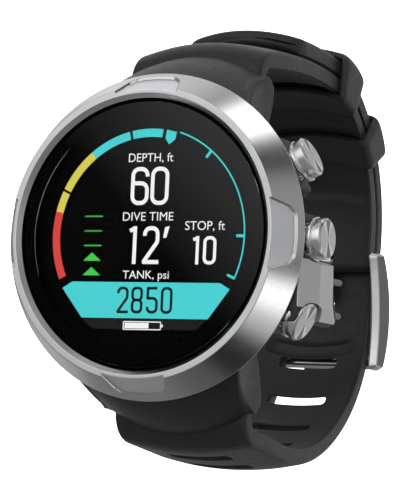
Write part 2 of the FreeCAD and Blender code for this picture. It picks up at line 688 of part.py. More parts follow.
def spring_bar(way, prefix):
    """Quick-release bar: tube with a fixed tip on the 9 o'clock side, sliding pin with a thumb tab, spring."""
    z = way * BAR_Z
    axis = Vector(1, 0, 0)
    tube = Part.makeCylinder(BAR_TUBE_R, 2 * BAR_TUBE_HALF, Vector(-BAR_TUBE_HALF, BAR_Y, z), axis)
    tube = tube.fuse(Part.makeCylinder(BAR_PIN_R, 2.0, Vector(-PIN_TIP_X, BAR_Y, z), axis))
    tube = tube.cut(Part.makeCylinder(BAR_BORE_R, 22.0, Vector(-6.0, BAR_Y, z), axis))
    slit = block((TAB_LOW_X - TAB_TRAVEL - 0.2, BAR_Y, z - 0.45), (TAB_HIGH_X + 0.2, BAR_Y + 3, z + 0.45))
    save(prefix + "_bar_tube", tube.cut(slit))
    pin = Part.makeCylinder(BAR_PIN_R, PIN_TIP_X - PIN_INNER_X, Vector(PIN_INNER_X, BAR_Y, z), axis)
    stalk = block((TAB_LOW_X, BAR_Y, z - 0.35), (TAB_HIGH_X, BAR_Y + 2.0, z + 0.35))
    thumb = Part.makeCylinder(0.95, 0.9, Vector((TAB_LOW_X + TAB_HIGH_X) / 2, BAR_Y + 1.7, z), Vector(0, 1, 0))
    save(prefix + "_bar_pin", pin.fuse([stalk, thumb]))
    spring = coil(Vector(TAB_TRAVEL - 6.0, BAR_Y, z), axis, PIN_INNER_X + 6.0 - TAB_TRAVEL, 0.42, 0.12, 12)
    save(prefix + "_bar_spring", spring)


def bar_room(way):
    """Bore for the bar and slot for the thumb tab in a strap end."""
    z = way * BAR_Z
    bore = Part.makeCylinder(BAR_TUBE_R + 0.03, 26.0, Vector(-13.0, BAR_Y, z), Vector(1, 0, 0))
    low = TAB_LOW_X - TAB_TRAVEL - 0.6
    window = block((low, BAR_Y, z - 1.15), (TAB_HIGH_X + 0.6, BAR_Y + 4, z + 1.15))
    return [bore, window]


# ---------------------------------------------------------------- straps
def strap_plan(half_lug, half_back):
    """Plan view of a strap half, used to taper it."""
    return [(-half_lug, -6.0), (-half_lug, TAPER_FROM_Y), (-half_back, TAPER_TO_Y), (-half_back, 70.0),
            (half_back, 70.0), (half_back, TAPER_TO_Y), (half_lug, TAPER_FROM_Y), (half_lug, -6.0)]


def tapered(band):
    points = [Vector(x, y, -60.0) for x, y in strap_plan(STRAP_HALF, STRAP_HALF_BACK)]
    points.append(points[0])
    return band.common(Part.Face(Part.makePolygon(points)).extrude(Vector(0, 0, 120.0)))


def slot_cutter(run_index, share, lean):
    """A flared prism through the long strap at a place on its path."""
    y, z, heading = point_on(long_path(0), run_index, share, 0.0)
    narrow = SLOT_HEIGHT_IN / 2
    wide = SLOT_HEIGHT_OUT / 2
    outline = [(-narrow, 3.0), (narrow, 3.0), (narrow, 0.0), (lean + wide, -STRAP_T), (lean + wide, -STRAP_T - 2),
               (lean - wide, -STRAP_T - 2), (lean - wide, -STRAP_T), (-narrow, 0.0)]
    cutter = slab(outline, -SLOT_WIDTH / 2, SLOT_WIDTH / 2)
    cutter.rotate(Vector(0, 0, 0), Vector(1, 0, 0), heading)
    cutter.translate(Vector(0, y, z))
    return cutter


ROD_Y, ROD_Z, _ = point_on(short_path(STRAP_HALF_BACK), 0, 0.33, 1.7)
END_BAR_RUN = 4              # arc of the long strap that the buckle's end bar lies on


def run_length(run):
    return run[3] * math.radians(run[4]) if run[4] else run[3]


def slot_places():
    """Run and share of each slot along the long strap, one pitch apart."""
    places = []
    for first, count in (SLOTS_BELOW, SLOTS_ABOVE):
        for index in range(count):
            left = first + index * SLOT_PITCH
            for number, run in enumerate(long_path(0).runs):
                if left < run_length(run):
                    places.append((number, left / run_length(run)))
                    break
                left -= run_length(run)
    return places


def upper_strap():
    band = tapered(lofted(short_path, STRAP_HALF, 0.0, STRAP_T))
    gap = block((-TONGUE_WIDTH / 2 - 0.3, ROD_Y - 4, ROD_Z - 4), (TONGUE_WIDTH / 2 + 0.3, ROD_Y + 4, ROD_Z + 1.9))
    rod_bore = Part.makeCylinder(BUCKLE_ROD_R, 30, Vector(-15, ROD_Y, ROD_Z), Vector(1, 0, 0))
    return band.cut([gap, rod_bore] + bar_room(1))


def tail_tip():
    """Plan of the waste beyond the tail's rounded end."""
    half = STRAP_HALF_BACK
    radius = TAIL_CORNER_R
    bow = 0.8
    start = TAIL_END_Y + bow
    low = start - 12
    bend = radius * (1 - math.sqrt(0.5))
    edges = [Part.LineSegment(Vector(-half - 3, low, 0), Vector(half + 3, low, 0)).toShape(),
             Part.LineSegment(Vector(half + 3, low, 0), Vector(half + 3, start + radius, 0)).toShape(),
             Part.LineSegment(Vector(half + 3, start + radius, 0), Vector(half, start + radius, 0)).toShape(),
             Part.Arc(Vector(half, start + radius, 0), Vector(half - bend, start + bend, 0),
                      Vector(half - radius, start, 0)).toShape(),
             Part.Arc(Vector(half - radius, start, 0), Vector(0, TAIL_END_Y, 0),
                      Vector(radius - half, start, 0)).toShape(),
             Part.Arc(Vector(radius - half, start, 0), Vector(bend - half, start + bend, 0),
                      Vector(-half, start + radius, 0)).toShape(),
             Part.LineSegment(Vector(-half, start + radius, 0), Vector(-half - 3, start + radius, 0)).toShape(),
             Part.LineSegment(Vector(-half - 3, start + radius, 0), Vector(-half - 3, low, 0)).toShape()]
    face = Part.Face(Part.Wire(edges))
    face.translate(Vector(0, 0, 10))
    return face.extrude(Vector(0, 0, 60))


def tail_sides():
    """Waste beside the tail, which keeps the buckle end's width all the way."""
    sides = []
    for sign in (1, -1):
        low = min(sign * STRAP_HALF_BACK, sign * 20)
        high = max(sign * STRAP_HALF_BACK, sign * 20)
        sides.append(block((low, -5, 10), (high, 80, 60)))
    return sides


def lower_strap():
    band = tapered(lofted(long_path, STRAP_HALF, 0.0, STRAP_T))
    cutters = []
    for number, (run, share) in enumerate(slot_places()):
        cutters.append(slot_cutter(run, share, SLOT_LEAN.get(number, 0.0)))
    cutters += [tongue_window(), tail_tip()] + tail_sides()
    return band.cut(cutters + bar_room(-1))


# ---------------------------------------------------------------- buckle and keepers
END_BAR_Y, END_BAR_Z, _ = point_on(long_path(0), END_BAR_RUN, 0.90, STRAP_T + END_BAR_R + 0.1)


def tongue_points(half):
    """Side view of the tongue: under the strap, out through the slot, over the end bar."""
    exit_y, exit_z, _ = point_on(long_path(0), 5, 0.30, STRAP_T / 2)
    middle = [(ROD_Y - 0.3, ROD_Z - 1.0), (exit_y - 2.6, exit_z + 2.6), (exit_y + 1.6, exit_z - 0.6),
              (END_BAR_Y + END_BAR_R + 0.62, END_BAR_Z + 3.0), (END_BAR_Y + END_BAR_R + 0.62, END_BAR_Z - 1.2)]
    sides = []
    for sign in (1, -1):
        row = []
        for index, (y, z) in enumerate(middle):
            before = middle[max(index - 1, 0)]
            after = middle[min(index + 1, len(middle) - 1)]
            length = math.hypot(after[0] - before[0], after[1] - before[1])
            row.append((y - sign * half * (after[1] - before[1]) / length,
                        z + sign * half * (after[0] - before[0]) / length))
        sides.append(row)
    return sides[0], sides[1]


def tongue_plate(half, width):
    """The bent plate without its eye."""
    left, right = tongue_points(half)
    curves = []
    for row in (left, right):
        curve = Part.BSplineCurve()
        curve.interpolate([Vector(-width / 2, y, z) for y, z in row])
        curves.append(curve.toShape())
    start = Part.LineSegment(curves[0].Vertexes[0].Point, curves[1].Vertexes[0].Point).toShape()
    end = Part.LineSegment(curves[0].Vertexes[-1].Point, curves[1].Vertexes[-1].Point).toShape()
    wire = Part.Wire(Part.__sortEdges__(curves + [start, end]))
    return Part.Face(wire).extrude(Vector(width, 0, 0))


def tongue_window():
    """Slot stretched open by the tongue, wide enough for its swing."""
    y, z, heading = point_on(long_path(0), 5, 0.30, 0.0)
    cutter = block((-TONGUE_WIDTH / 2 - 0.15, -2.9, -STRAP_T - 2), (TONGUE_WIDTH / 2 + 0.15, 3.3, 2))
    cutter.rotate(Vector(0, 0, 0), Vector(1, 0, 0), heading)
    cutter.translate(Vector(0, y, z))
    return cutter


def buckle_tongue():
    plate = tongue_plate(TONGUE_T / 2, TONGUE_WIDTH)
    eye = Part.makeCylinder(1.5, TONGUE_WIDTH, Vector(-TONGUE_WIDTH / 2, ROD_Y, ROD_Z), Vector(1, 0, 0))
    bore = Part.makeCylinder(BUCKLE_ROD_R + 0.04, TONGUE_WIDTH + 2, Vector(-TONGUE_WIDTH / 2 - 1, ROD_Y, ROD_Z),
                             Vector(1, 0, 0))
    return plate.fuse(eye).cut(bore)


def buckle_arm(low_x, high_x):
    """One side arm: straight towards the wrist, bulging outwards."""
    top = ROD_Z + 1.9
    low = END_BAR_Z - 1.3
    inner_top = Vector(low_x, ROD_Y - 1.4, top - 0.4)
    inner_low = Vector(low_x, END_BAR_Y - 1.7, low + 0.3)
    outer_low = Vector(low_x, END_BAR_Y + 1.0, low + 0.1)
    outer_top = Vector(low_x, ROD_Y + 1.4, top)
    bulge = Vector(low_x, (outer_low.y + outer_top.y) / 2 + 3.6, (outer_low.z + outer_top.z) / 2)
    edges = [Part.LineSegment(inner_top, inner_low).toShape(), Part.LineSegment(inner_low, outer_low).toShape(),
             Part.Arc(outer_low, bulge, outer_top).toShape(), Part.LineSegment(outer_top, inner_top).toShape()]
    arm = Part.Face(Part.Wire(edges)).extrude(Vector(high_x - low_x, 0, 0))
    return arm


def buckle_frame():
    right = buckle_arm(ARM_IN_X, ARM_OUT_X)
    left = buckle_arm(-ARM_OUT_X, -ARM_IN_X)
    end_bar = Part.makeCylinder(END_BAR_R, 2 * ARM_OUT_X - 1, Vector(0.5 - ARM_OUT_X, END_BAR_Y, END_BAR_Z),
                                Vector(1, 0, 0))
    bore = Part.makeCylinder(BUCKLE_ROD_R + 0.04, 30, Vector(-15, ROD_Y, ROD_Z), Vector(1, 0, 0))
    return right.fuse([left, end_bar]).cut(bore)


def buckle_rod():
    return Part.makeCylinder(BUCKLE_ROD_R, 2 * ARM_OUT_X, Vector(-ARM_OUT_X, ROD_Y, ROD_Z), Vector(1, 0, 0))


def keeper(angle, length):
    """Loop round both strap layers, on the round back of the strap."""
    half_angle = math.degrees(length / 2 / (BACK_R + LAYER))
    start = angle + 90 - half_angle

    def arc_at(x, extra):
        radius = BACK_R + crown(x, CROWN_BACK)
        centre = back_centre(x)
        out = normal(start - extra)
        path = Path(centre[0] + radius * out[0], centre[1] + radius * out[1], start - extra)
        return path.arc(radius, 2 * (half_angle + extra))

    front = LOOP_CENTRE[0] + (BACK_R + LAYER) * normal(start + 2 * half_angle)[0]
    reach = min(1.0, max(0.0, TAPER_TO_Y - front) / (TAPER_TO_Y - TAPER_FROM_Y))
    half = STRAP_HALF_BACK + (STRAP_HALF - STRAP_HALF_BACK) * reach + KEEPER_CLEAR + 0.1
    top = LAYER + STRAP_T + KEEPER_CLEAR
    outer = lofted(lambda x: arc_at(x, 0.0), half + KEEPER_WALL, -KEEPER_CLEAR - 1.3, top + KEEPER_WALL)
    hollow = lofted(lambda x: arc_at(x, 3.0), half, -KEEPER_CLEAR - 0.1, top)
    return outer.cut(hollow)


# ---------------------------------------------------------------- build every node
save("mid_case", mid_case())
save("bezel", bezel())
save("crystal", crystal())
save("crystal_gasket", ring(GLASS_R, GLASS_POCKET_R, GLASS_SEAT_H, GLASS_TOP_H - 0.1))
save("bezel_seal", torus(Vector(0, -11.5, 0), Vector(0, 1, 0), 21.75, 0.49))
save("dial_ring", ring(18.9, 20.3, 12.5, 13.35))
save("display_module", disc(18.8, 11.8, 13.35))
save("chassis", chassis())
save("circuit_board", circuit_board())
save("battery", battery())
save("vibration_motor", vibration_motor())
save("motor_rotor", motor_rotor())
save("tact_switches", tact_switches())
save("pressure_sensor", sensor_body(0.0))
save("sensor_cover", sensor_cover())
save("contact_studs", Part.makeCompound(contact_studs()))
save("case_back", case_back())
save("case_back_seal", torus(Vector(0, -1.7, 0), Vector(0, 1, 0), BACK_HOLE_R - 0.45, 0.38))
save("case_back_screws", case_back_screws())
for pusher_name, pusher_angle in PUSHER_ANGLES.items():
    pusher(pusher_name, pusher_angle)
spring_bar(1, "upper")
spring_bar(-1, "lower")
save("upper_strap", upper_strap())
save("lower_strap", lower_strap())
save("buckle_rod", buckle_rod())
save("buckle_frame", buckle_frame())
save("buckle_tongue", buckle_tongue())
for keeper_name, (keeper_angle, keeper_length) in KEEPERS.items():
    save(keeper_name, keeper(keeper_angle, keeper_length))

for node, shape in made.items():
    box = shape.BoundBox
    print("%-22s valid %s solids %d volume %9.2f box x %.2f..%.2f y %.2f..%.2f z %.2f..%.2f" % (
        node, shape.isValid(), len(shape.Solids), shape.Volume, box.XMin, box.XMax, box.YMin, box.YMax,
        box.ZMin, box.ZMax))
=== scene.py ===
"""Wrist dive computer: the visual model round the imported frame.

Metres in the scene, millimetres in the shape code. Origin at the centre of the case back, +Z towards 12 o'clock,
+X towards 3 o'clock, -Y out of the dial, so a height h above the case back is y = -h.
"""

import json
import math

import bmesh
import bpy
import numpy as np
from mathutils import Matrix, Vector


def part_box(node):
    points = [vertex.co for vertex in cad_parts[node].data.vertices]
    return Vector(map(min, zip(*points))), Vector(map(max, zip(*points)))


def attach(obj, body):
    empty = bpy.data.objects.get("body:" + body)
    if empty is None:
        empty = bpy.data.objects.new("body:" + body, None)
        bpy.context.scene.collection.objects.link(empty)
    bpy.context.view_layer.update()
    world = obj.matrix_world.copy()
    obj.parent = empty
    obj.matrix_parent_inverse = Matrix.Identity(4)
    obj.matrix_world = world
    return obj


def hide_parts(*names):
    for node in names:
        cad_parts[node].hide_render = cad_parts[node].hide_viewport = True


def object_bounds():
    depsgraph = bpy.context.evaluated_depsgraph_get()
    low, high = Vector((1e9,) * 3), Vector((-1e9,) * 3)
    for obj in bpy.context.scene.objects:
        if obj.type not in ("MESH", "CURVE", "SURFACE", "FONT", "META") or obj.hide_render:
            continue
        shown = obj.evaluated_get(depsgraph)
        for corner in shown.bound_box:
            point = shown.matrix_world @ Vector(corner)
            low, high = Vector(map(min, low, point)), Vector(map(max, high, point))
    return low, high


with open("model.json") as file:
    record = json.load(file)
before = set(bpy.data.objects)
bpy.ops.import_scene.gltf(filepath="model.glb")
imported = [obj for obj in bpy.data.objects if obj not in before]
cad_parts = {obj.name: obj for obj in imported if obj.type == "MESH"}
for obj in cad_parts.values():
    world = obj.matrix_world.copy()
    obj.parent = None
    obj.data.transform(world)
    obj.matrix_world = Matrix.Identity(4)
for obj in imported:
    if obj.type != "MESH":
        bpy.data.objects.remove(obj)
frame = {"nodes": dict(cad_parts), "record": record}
CAD_LOW, CAD_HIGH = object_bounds()
MM = 0.001


# ---------------------------------------------------------------- node helpers
class Material:
    """A Principled material with a few procedural layers."""

    def __init__(self, name, color, roughness=0.5, metallic=0.0, **sockets):
        self.mat = bpy.data.materials.new(name)
        self.mat.use_nodes = True
        self.tree = self.mat.node_tree
        self.bsdf = self.tree.nodes["Principled BSDF"]
        self.color = color
        self.set("Base Color", (*color, 1.0))
        self.set("Roughness", roughness)
        self.set("Metallic", metallic)
        for key, value in sockets.items():
            self.set(key.replace("_", " "), value)
        self.coords = self.node("ShaderNodeTexCoord").outputs["Object"]
        self.height = None

    def set(self, socket, value):
        self.bsdf.inputs[socket].default_value = value

    def node(self, kind, **settings):
        node = self.tree.nodes.new(kind)
        for key, value in settings.items():
            setattr(node, key, value)
        return node

    def link(self, out, into):
        self.tree.links.new(out, into)
        return self

    def mapped(self, scale, turn=(0.0, 0.0, 0.0)):
        mapping = self.node("ShaderNodeMapping")
        mapping.inputs["Scale"].default_value = scale
        mapping.inputs["Rotation"].default_value = turn
        self.link(self.coords, mapping.inputs["Vector"])
        return mapping.outputs["Vector"]

    def noise(self, scale, detail=3.0, vector=None, rough=0.55):
        noise = self.node("ShaderNodeTexNoise")
        noise.inputs["Scale"].default_value = scale
        noise.inputs["Detail"].default_value = detail
        noise.inputs["Roughness"].default_value = rough
        self.link(self.coords if vector is None else vector, noise.inputs["Vector"])
        return noise.outputs["Fac"]

    def spread(self, value, low, high, from_low=0.3, from_high=0.7):
        """value carried from one range to another."""
        ranged = self.node("ShaderNodeMapRange")
        for key, number in (("From Min", from_low), ("From Max", from_high), ("To Min", low), ("To Max", high)):
            ranged.inputs[key].default_value = number
        self.link(value, ranged.inputs["Value"])
        return ranged.outputs["Result"]

    def tint(self, value, other, amount=1.0):
        """Base colour drifts towards another colour where value is high."""
        mix = self.node("ShaderNodeMix", data_type="RGBA")
        mix.inputs["A"].default_value = (*self.color, 1.0)
        mix.inputs["B"].default_value = (*other, 1.0)
        self.link(self.spread(value, 0.0, amount), mix.inputs["Factor"])
        self.link(mix.outputs["Result"], self.bsdf.inputs["Base Color"])
        return self

    def rough(self, value, low, high):
        self.link(self.spread(value, low, high), self.bsdf.inputs["Roughness"])
        return self

    def bump(self, value, depth_mm, strength=1.0):
        """Fine relief, in millimetres of depth; repeated calls add up."""
        bump = self.node("ShaderNodeBump")
        bump.inputs["Distance"].default_value = depth_mm * MM
        bump.inputs["Strength"].default_value = strength
        self.link(value, bump.inputs["Height"])
        if self.height is not None:
            self.link(self.height, bump.inputs["Normal"])
        self.height = bump.outputs["Normal"]
        self.link(self.height, self.bsdf.inputs["Normal"])
        return self

    def turned(self, axis, amount, angle=0.0):
        """Anisotropic shine of a surface turned on a lathe about an axis."""
        tangent = self.node("ShaderNodeTangent", direction_type="RADIAL", axis=axis)
        self.link(tangent.outputs["Tangent"], self.bsdf.inputs["Tangent"])
        self.set("Anisotropic", amount)
        self.set("Anisotropic Rotation", angle)
        return self


# ---------------------------------------------------------------- materials
def rubber(name, color, lighter):
    """Moulded silicone rubber: soft sheen, very fine grain, dust as lighter mottling at random."""
    made = Material(name, color, 0.46, Specular_IOR_Level=0.42, Sheen_Weight=0.12, Sheen_Roughness=0.45)
    made.tint(made.noise(240.0, 4.0), lighter, 0.55)
    made.rough(made.noise(900.0, 4.0), 0.40, 0.53)
    made.bump(made.noise(9000.0, 2.0), 0.010, 0.5)
    made.bump(made.noise(1500.0, 3.0), 0.012, 0.35)
    return made.mat


def moulded(name, color, lighter, roughness=0.42):
    """Glass-filled polyamide with a spark-eroded grain."""
    made = Material(name, color, roughness, Specular_IOR_Level=0.45)
    made.tint(made.noise(180.0, 4.0), lighter, 0.5)
    made.rough(made.noise(1200.0, 4.0), roughness - 0.05, roughness + 0.08)
    cells = made.node("ShaderNodeTexVoronoi")
    cells.inputs["Scale"].default_value = 5200.0
    made.link(made.coords, cells.inputs["Vector"])
    made.bump(cells.outputs["Distance"], 0.010, 0.45)
    return made.mat


def steel(name, color, roughness, axis="", amount=0.0, grain=(1.0, 1.0, 1.0), depth=0.0):
    """Stainless steel with the marks of its last machining."""
    made = Material(name, color, roughness, 1.0)
    if axis:
        made.turned(axis, amount)
    lines = made.noise(2600.0, 3.0, made.mapped(grain))
    made.rough(lines, roughness * 0.9, roughness * 1.1)
    made.tint(made.noise(60.0, 3.0), tuple(part * 0.93 for part in color), 0.6)
    if depth:
        made.bump(lines, depth, 0.3)
    return made.mat


def painted_sunray(name, color):
    """Steel face with light and dark rays fanning out from its middle, painted into its colour: painted
    highlights and painted dark reflections of a turned face.
    """
    made = Material(name, color, 0.34, 1.0)
    around = made.node("ShaderNodeTexGradient", gradient_type="RADIAL")
    made.link(made.coords, around.inputs["Vector"])
    ramp = made.node("ShaderNodeValToRGB")
    for index, (place, shade) in enumerate(PAINTED_SUNRAY_SHADES):
        stop = ramp.color_ramp.elements[index] if index < 2 else ramp.color_ramp.elements.new(place)
        stop.position = place
        stop.color = (color[0] * shade, color[1] * shade, color[2] * shade, 1.0)
    made.link(around.outputs["Fac"], ramp.inputs["Fac"])
    made.link(ramp.outputs["Color"], made.bsdf.inputs["Base Color"])
    return made.mat


# Stops round a button face, (place, shade): painted highlights above 1, painted dark reflections below it.
PAINTED_SUNRAY_SHADES = ((0.0, 0.92), (0.155, 0.88), (0.19, 1.3), (0.222, 1.0), (0.238, 0.28), (0.31, 0.34), (0.33, 1.3),
           (0.37, 1.35), (0.40, 0.9), (0.52, 0.96), (0.64, 0.85), (0.685, 1.3), (0.72, 0.9), (0.735, 0.26),
           (0.80, 0.36), (0.825, 1.35), (0.85, 1.35), (0.885, 0.9), (1.0, 0.92))


def plain(name, color, roughness=0.5, metallic=0.0, vary=0.85):
    """Inner parts: one colour with light mottling and a little relief."""
    made = Material(name, color, roughness, metallic)
    made.tint(made.noise(300.0, 3.0), tuple(part * vary for part in color), 0.8)
    made.rough(made.noise(800.0, 3.0), roughness * 0.85, min(1.0, roughness * 1.15))
    made.bump(made.noise(2500.0, 2.0), 0.006, 0.4)
    return made.mat


def printed(name, color, glow_and_painted_reflection):
    """Lit figures of the display, almost all of whose light is their own."""
    made = Material(name, tuple(part * 0.1 for part in color), 0.6, Specular_IOR_Level=0.05)
    made.set("Emission Color", (*color, 1.0))
    made.set("Emission Strength", glow_and_painted_reflection)
    return made.mat


def dial(name, color, glow_and_painted_reflection=0.044):
    """Black behind the glass, with a painted reflection: a faint white emission that grows towards one side and
    stands in for a soft reflection in the glass.
    """
    made = Material(name, color, 0.6, Specular_IOR_Level=0.0)
    ramp = made.node("ShaderNodeTexGradient", gradient_type="LINEAR")
    mapping = made.node("ShaderNodeMapping")
    mapping.inputs["Rotation"].default_value = (0.0, math.radians(45.0), 0.0)
    mapping.inputs["Scale"].default_value = (33.3, 33.3, 33.3)
    made.link(made.coords, mapping.inputs["Vector"])
    made.link(mapping.outputs["Vector"], ramp.inputs["Vector"])
    # Painted reflection: white emission rising along a diagonal gradient in object space.
    made.set("Emission Color", (1.0, 1.0, 1.0, 1.0))
    made.link(made.spread(ramp.outputs["Fac"], 0.0, glow_and_painted_reflection, 0.0, 1.0), made.bsdf.inputs["Emission Strength"])
    return made.mat


def glass():
    """Sapphire crystal. Lamps shine through it on to the display."""
    made = Material("crystal", (1.0, 1.0, 1.0), 0.0, IOR=1.06, Transmission_Weight=1.0)
    clear = made.node("ShaderNodeBsdfTransparent")
    path = made.node("ShaderNodeLightPath")
    mix = made.node("ShaderNodeMixShader")
    made.link(path.outputs["Is Shadow Ray"], mix.inputs["Fac"])
    made.link(made.bsdf.outputs["BSDF"], mix.inputs[1])
    made.link(clear.outputs["BSDF"], mix.inputs[2])
    made.link(mix.outputs["Shader"], made.tree.nodes["Material Output"].inputs["Surface"])
    return made.mat


MATS = {
    "strap_rubber": rubber("strap_rubber", (0.0185, 0.0185, 0.0190), (0.027, 0.027, 0.028)),
    "keeper_rubber": rubber("keeper_rubber", (0.021, 0.021, 0.0215), (0.030, 0.030, 0.031)),
    "seal_rubber": dial("seal_rubber", (0.0016, 0.0016, 0.0016), 0.0),
    "case_polymer": moulded("case_polymer", (0.0175, 0.0175, 0.0180), (0.025, 0.025, 0.026)),
    "inner_plastic": moulded("inner_plastic", (0.03, 0.03, 0.032), (0.045, 0.045, 0.047)),
    "bezel_steel": steel("bezel_steel", (0.66, 0.665, 0.67), 0.22, "Y", 0.6),
    # Grip-pocket floors: a real rougher finish, and a lighter copy of the bezel steel's colour as painted light.
    "pocket_steel": steel("pocket_steel", (0.93, 0.94, 0.97), 0.42),
    "ring_steel": steel("ring_steel", (0.72, 0.72, 0.725), 0.34, "Y", 0.4),
    "button_steel": steel("button_steel", (0.80, 0.80, 0.805), 0.22, "Z", 0.5),
    "button_face": painted_sunray("button_face", (0.74, 0.74, 0.745)),
    "buckle_steel": steel("buckle_steel", (0.70, 0.70, 0.705), 0.22, "", 0.0, (0.05, 1.0, 1.0), 0.004),
    # Darker copy of the buckle steel for the arms' flat outer sides: painted shade for their dark reflection.
    "buckle_side": steel("buckle_side", (0.15, 0.15, 0.153), 0.34, "", 0.0, (0.05, 1.0, 1.0), 0.003),
    "cover_steel": steel("cover_steel", (0.66, 0.66, 0.655), 0.38),
    "back_steel": steel("back_steel", (0.58, 0.58, 0.585), 0.30, "", 0.0, (1.0, 0.05, 1.0), 0.003),
    "bar_steel": steel("bar_steel", (0.60, 0.60, 0.605), 0.25),
    "bush_steel": steel("bush_steel", (0.42, 0.42, 0.43), 0.32),
    "screw_steel": steel("screw_steel", (0.55, 0.55, 0.555), 0.25),
    "sensor_steel": steel("sensor_steel", (0.50, 0.50, 0.51), 0.3),
    "motor_steel": steel("motor_steel", (0.55, 0.55, 0.56), 0.3),
    "spring_steel": steel("spring_steel", (0.60, 0.60, 0.60), 0.25),
    "contact_gold": steel("contact_gold", (0.24, 0.235, 0.22), 0.38),
    "board_green": plain("board_green", (0.02, 0.11, 0.05), 0.4),
    "battery_foil": plain("battery_foil", (0.55, 0.56, 0.58), 0.35, 0.8),
    # The display and its black prints carry the painted reflection gradient.
    "dial_black": dial("dial_black", (0.0016, 0.0016, 0.0017)),
    "display_face": dial("display_face", (0.0016, 0.0016, 0.0017)),
    "crystal_glass": glass(),
}
PRINT = {
    "white": printed("print_white", (0.80, 0.80, 0.80), 1.0),
    "teal": printed("print_teal", (0.062, 0.56, 0.57), 1.0),
    "yellow": printed("print_yellow", (0.60, 0.53, 0.085), 1.0),
    "red": printed("print_red", (0.60, 0.055, 0.05), 1.0),
    "green": printed("print_green", (0.055, 0.52, 0.07), 1.0),
    "ink": printed("print_ink", (0.003, 0.012, 0.014), 1.0),
    "grey": printed("print_grey", (0.009, 0.0095, 0.010), 1.0),
    "black": printed("print_black", (0.0004, 0.0004, 0.0004), 1.0),
}

SLOT_OF = {row["node"]: row["material_slot"] for row in frame["record"]["subparts"]}
BODY_OF = {node: body for body, nodes in frame["record"]["behaviour"]["bodies"].items() for node in nodes}
for node, item in frame["nodes"].items():
    item.data.materials.clear()
    item.data.materials.append(MATS[SLOT_OF[node]])


# ---------------------------------------------------------------- mesh helpers
def make(name, points, faces, material, body, replaces=(), sharp=32.0, place=None):
    """A mesh piece from points in millimetres, smooth except at its sharp edges."""
    mesh = bpy.data.meshes.new(name)
    mesh.from_pydata([tuple(part * MM for part in point) for point in points], [], faces)
    built = bmesh.new()
    built.from_mesh(mesh)
    bmesh.ops.remove_doubles(built, verts=built.verts, dist=1e-7)
    bmesh.ops.recalc_face_normals(built, faces=built.faces)
    built.to_mesh(mesh)
    built.free()
    mesh.shade_smooth()
    mesh.set_sharp_from_angle(angle=math.radians(sharp))
    mesh.materials.append(material)
    piece = bpy.data.objects.new(name, mesh)
    bpy.context.scene.collection.objects.link(piece)
    if place is not None:
        piece.matrix_world = place
    return settle(piece, body, replaces)


def settle(piece, body, replaces=()):
    if body:
        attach(piece, body)
    if replaces:
        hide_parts(*replaces)
    return piece


def grid_faces(rows, columns, close_rows=False, close_columns=True):
    """Quads over a grid of points, row by row."""
    faces = []
    for row in range(rows if close_rows else rows - 1):
        after = (row + 1) % rows
        for column in range(columns if close_columns else columns - 1):
            beside = (column + 1) % columns
            faces.append((row * columns + column, row * columns + beside,
                          after * columns + beside, after * columns + column))
    return faces


def rounded(corners, steps=5):
    """Closed outline from (a, b, radius) corners, with the corners rounded off."""
    out = []
    count = len(corners)
    for index, (a, b, radius) in enumerate(corners):
        here = np.array((a, b))
        before = np.array(corners[index - 1][:2]) - here
        after = np.array(corners[(index + 1) % count][:2]) - here
        cosine = before @ after / np.linalg.norm(before) / np.linalg.norm(after)
        half = math.acos(max(-1.0, min(1.0, cosine))) / 2
        if radius <= 0 or half > math.radians(88):
            out.append((a, b))
            continue
        before = before / np.linalg.norm(before)
        after = after / np.linalg.norm(after)
        bisector = (before + after) / np.linalg.norm(before + after)
        centre = here + bisector * radius / math.sin(half)
        start = here + before * radius / math.tan(half) - centre
        end = here + after * radius / math.tan(half) - centre
        turn = math.atan2(start[0] * end[1] - start[1] * end[0], start @ end)
        for step in range(steps + 1):
            angle = turn * step / steps
            out.append((centre[0] + start[0] * math.cos(angle) - start[1] * math.sin(angle),
                        centre[1] + start[0] * math.sin(angle) + start[1] * math.cos(angle)))
    return out


def split_long(outline, longest):
    """The same closed outline with no gap longer than a limit."""
    out = []
    for index, (a, b) in enumerate(outline):
        c, d = outline[(index + 1) % len(outline)]
        pieces = max(1, math.ceil(math.hypot(c - a, d - b) / longest))
        out += [(a + (c - a) * k / pieces, b + (d - b) * k / pieces) for k in range(pieces)]
    return out


def smooth(value, low, high):
    share = min(1.0, max(0.0, (value - low) / (high - low)))
    return share * share * (3.0 - 2.0 * share)


def refined(node, width, segments=3, angle=28.0, material=None):
    """A CAD node's shape with its sharp edges broken by a small round."""
    built = bmesh.new()
    built.from_mesh(frame["nodes"][node].data)
    bmesh.ops.remove_doubles(built, verts=built.verts, dist=2e-7)
    bmesh.ops.dissolve_limit(built, angle_limit=math.radians(0.4), verts=built.verts, edges=built.edges)
    mesh = bpy.data.meshes.new(node + "_finished")
    built.to_mesh(mesh)
    built.free()
    mesh.shade_smooth()
    mesh.materials.append(material or MATS[SLOT_OF[node]])
    piece = bpy.data.objects.new(node + "_finished", mesh)
    bpy.context.scene.collection.objects.link(piece)
    bevel = piece.modifiers.new("edges", "BEVEL")
    bevel.width = width * MM
    bevel.segments = segments
    bevel.limit_method = "ANGLE"
    bevel.angle_limit = math.radians(angle)
    piece.modifiers.new("flat_faces", "WEIGHTED_NORMAL").weight = 100
    return settle(piece, BODY_OF[node], [node])


def applied(piece):
    """The piece's mesh with its modifiers made final."""
    graph = bpy.context.evaluated_depsgraph_get()
    mesh = bpy.data.meshes.new_from_object(piece.evaluated_get(graph))
    piece.modifiers.clear()
    piece.data = mesh
    return piece


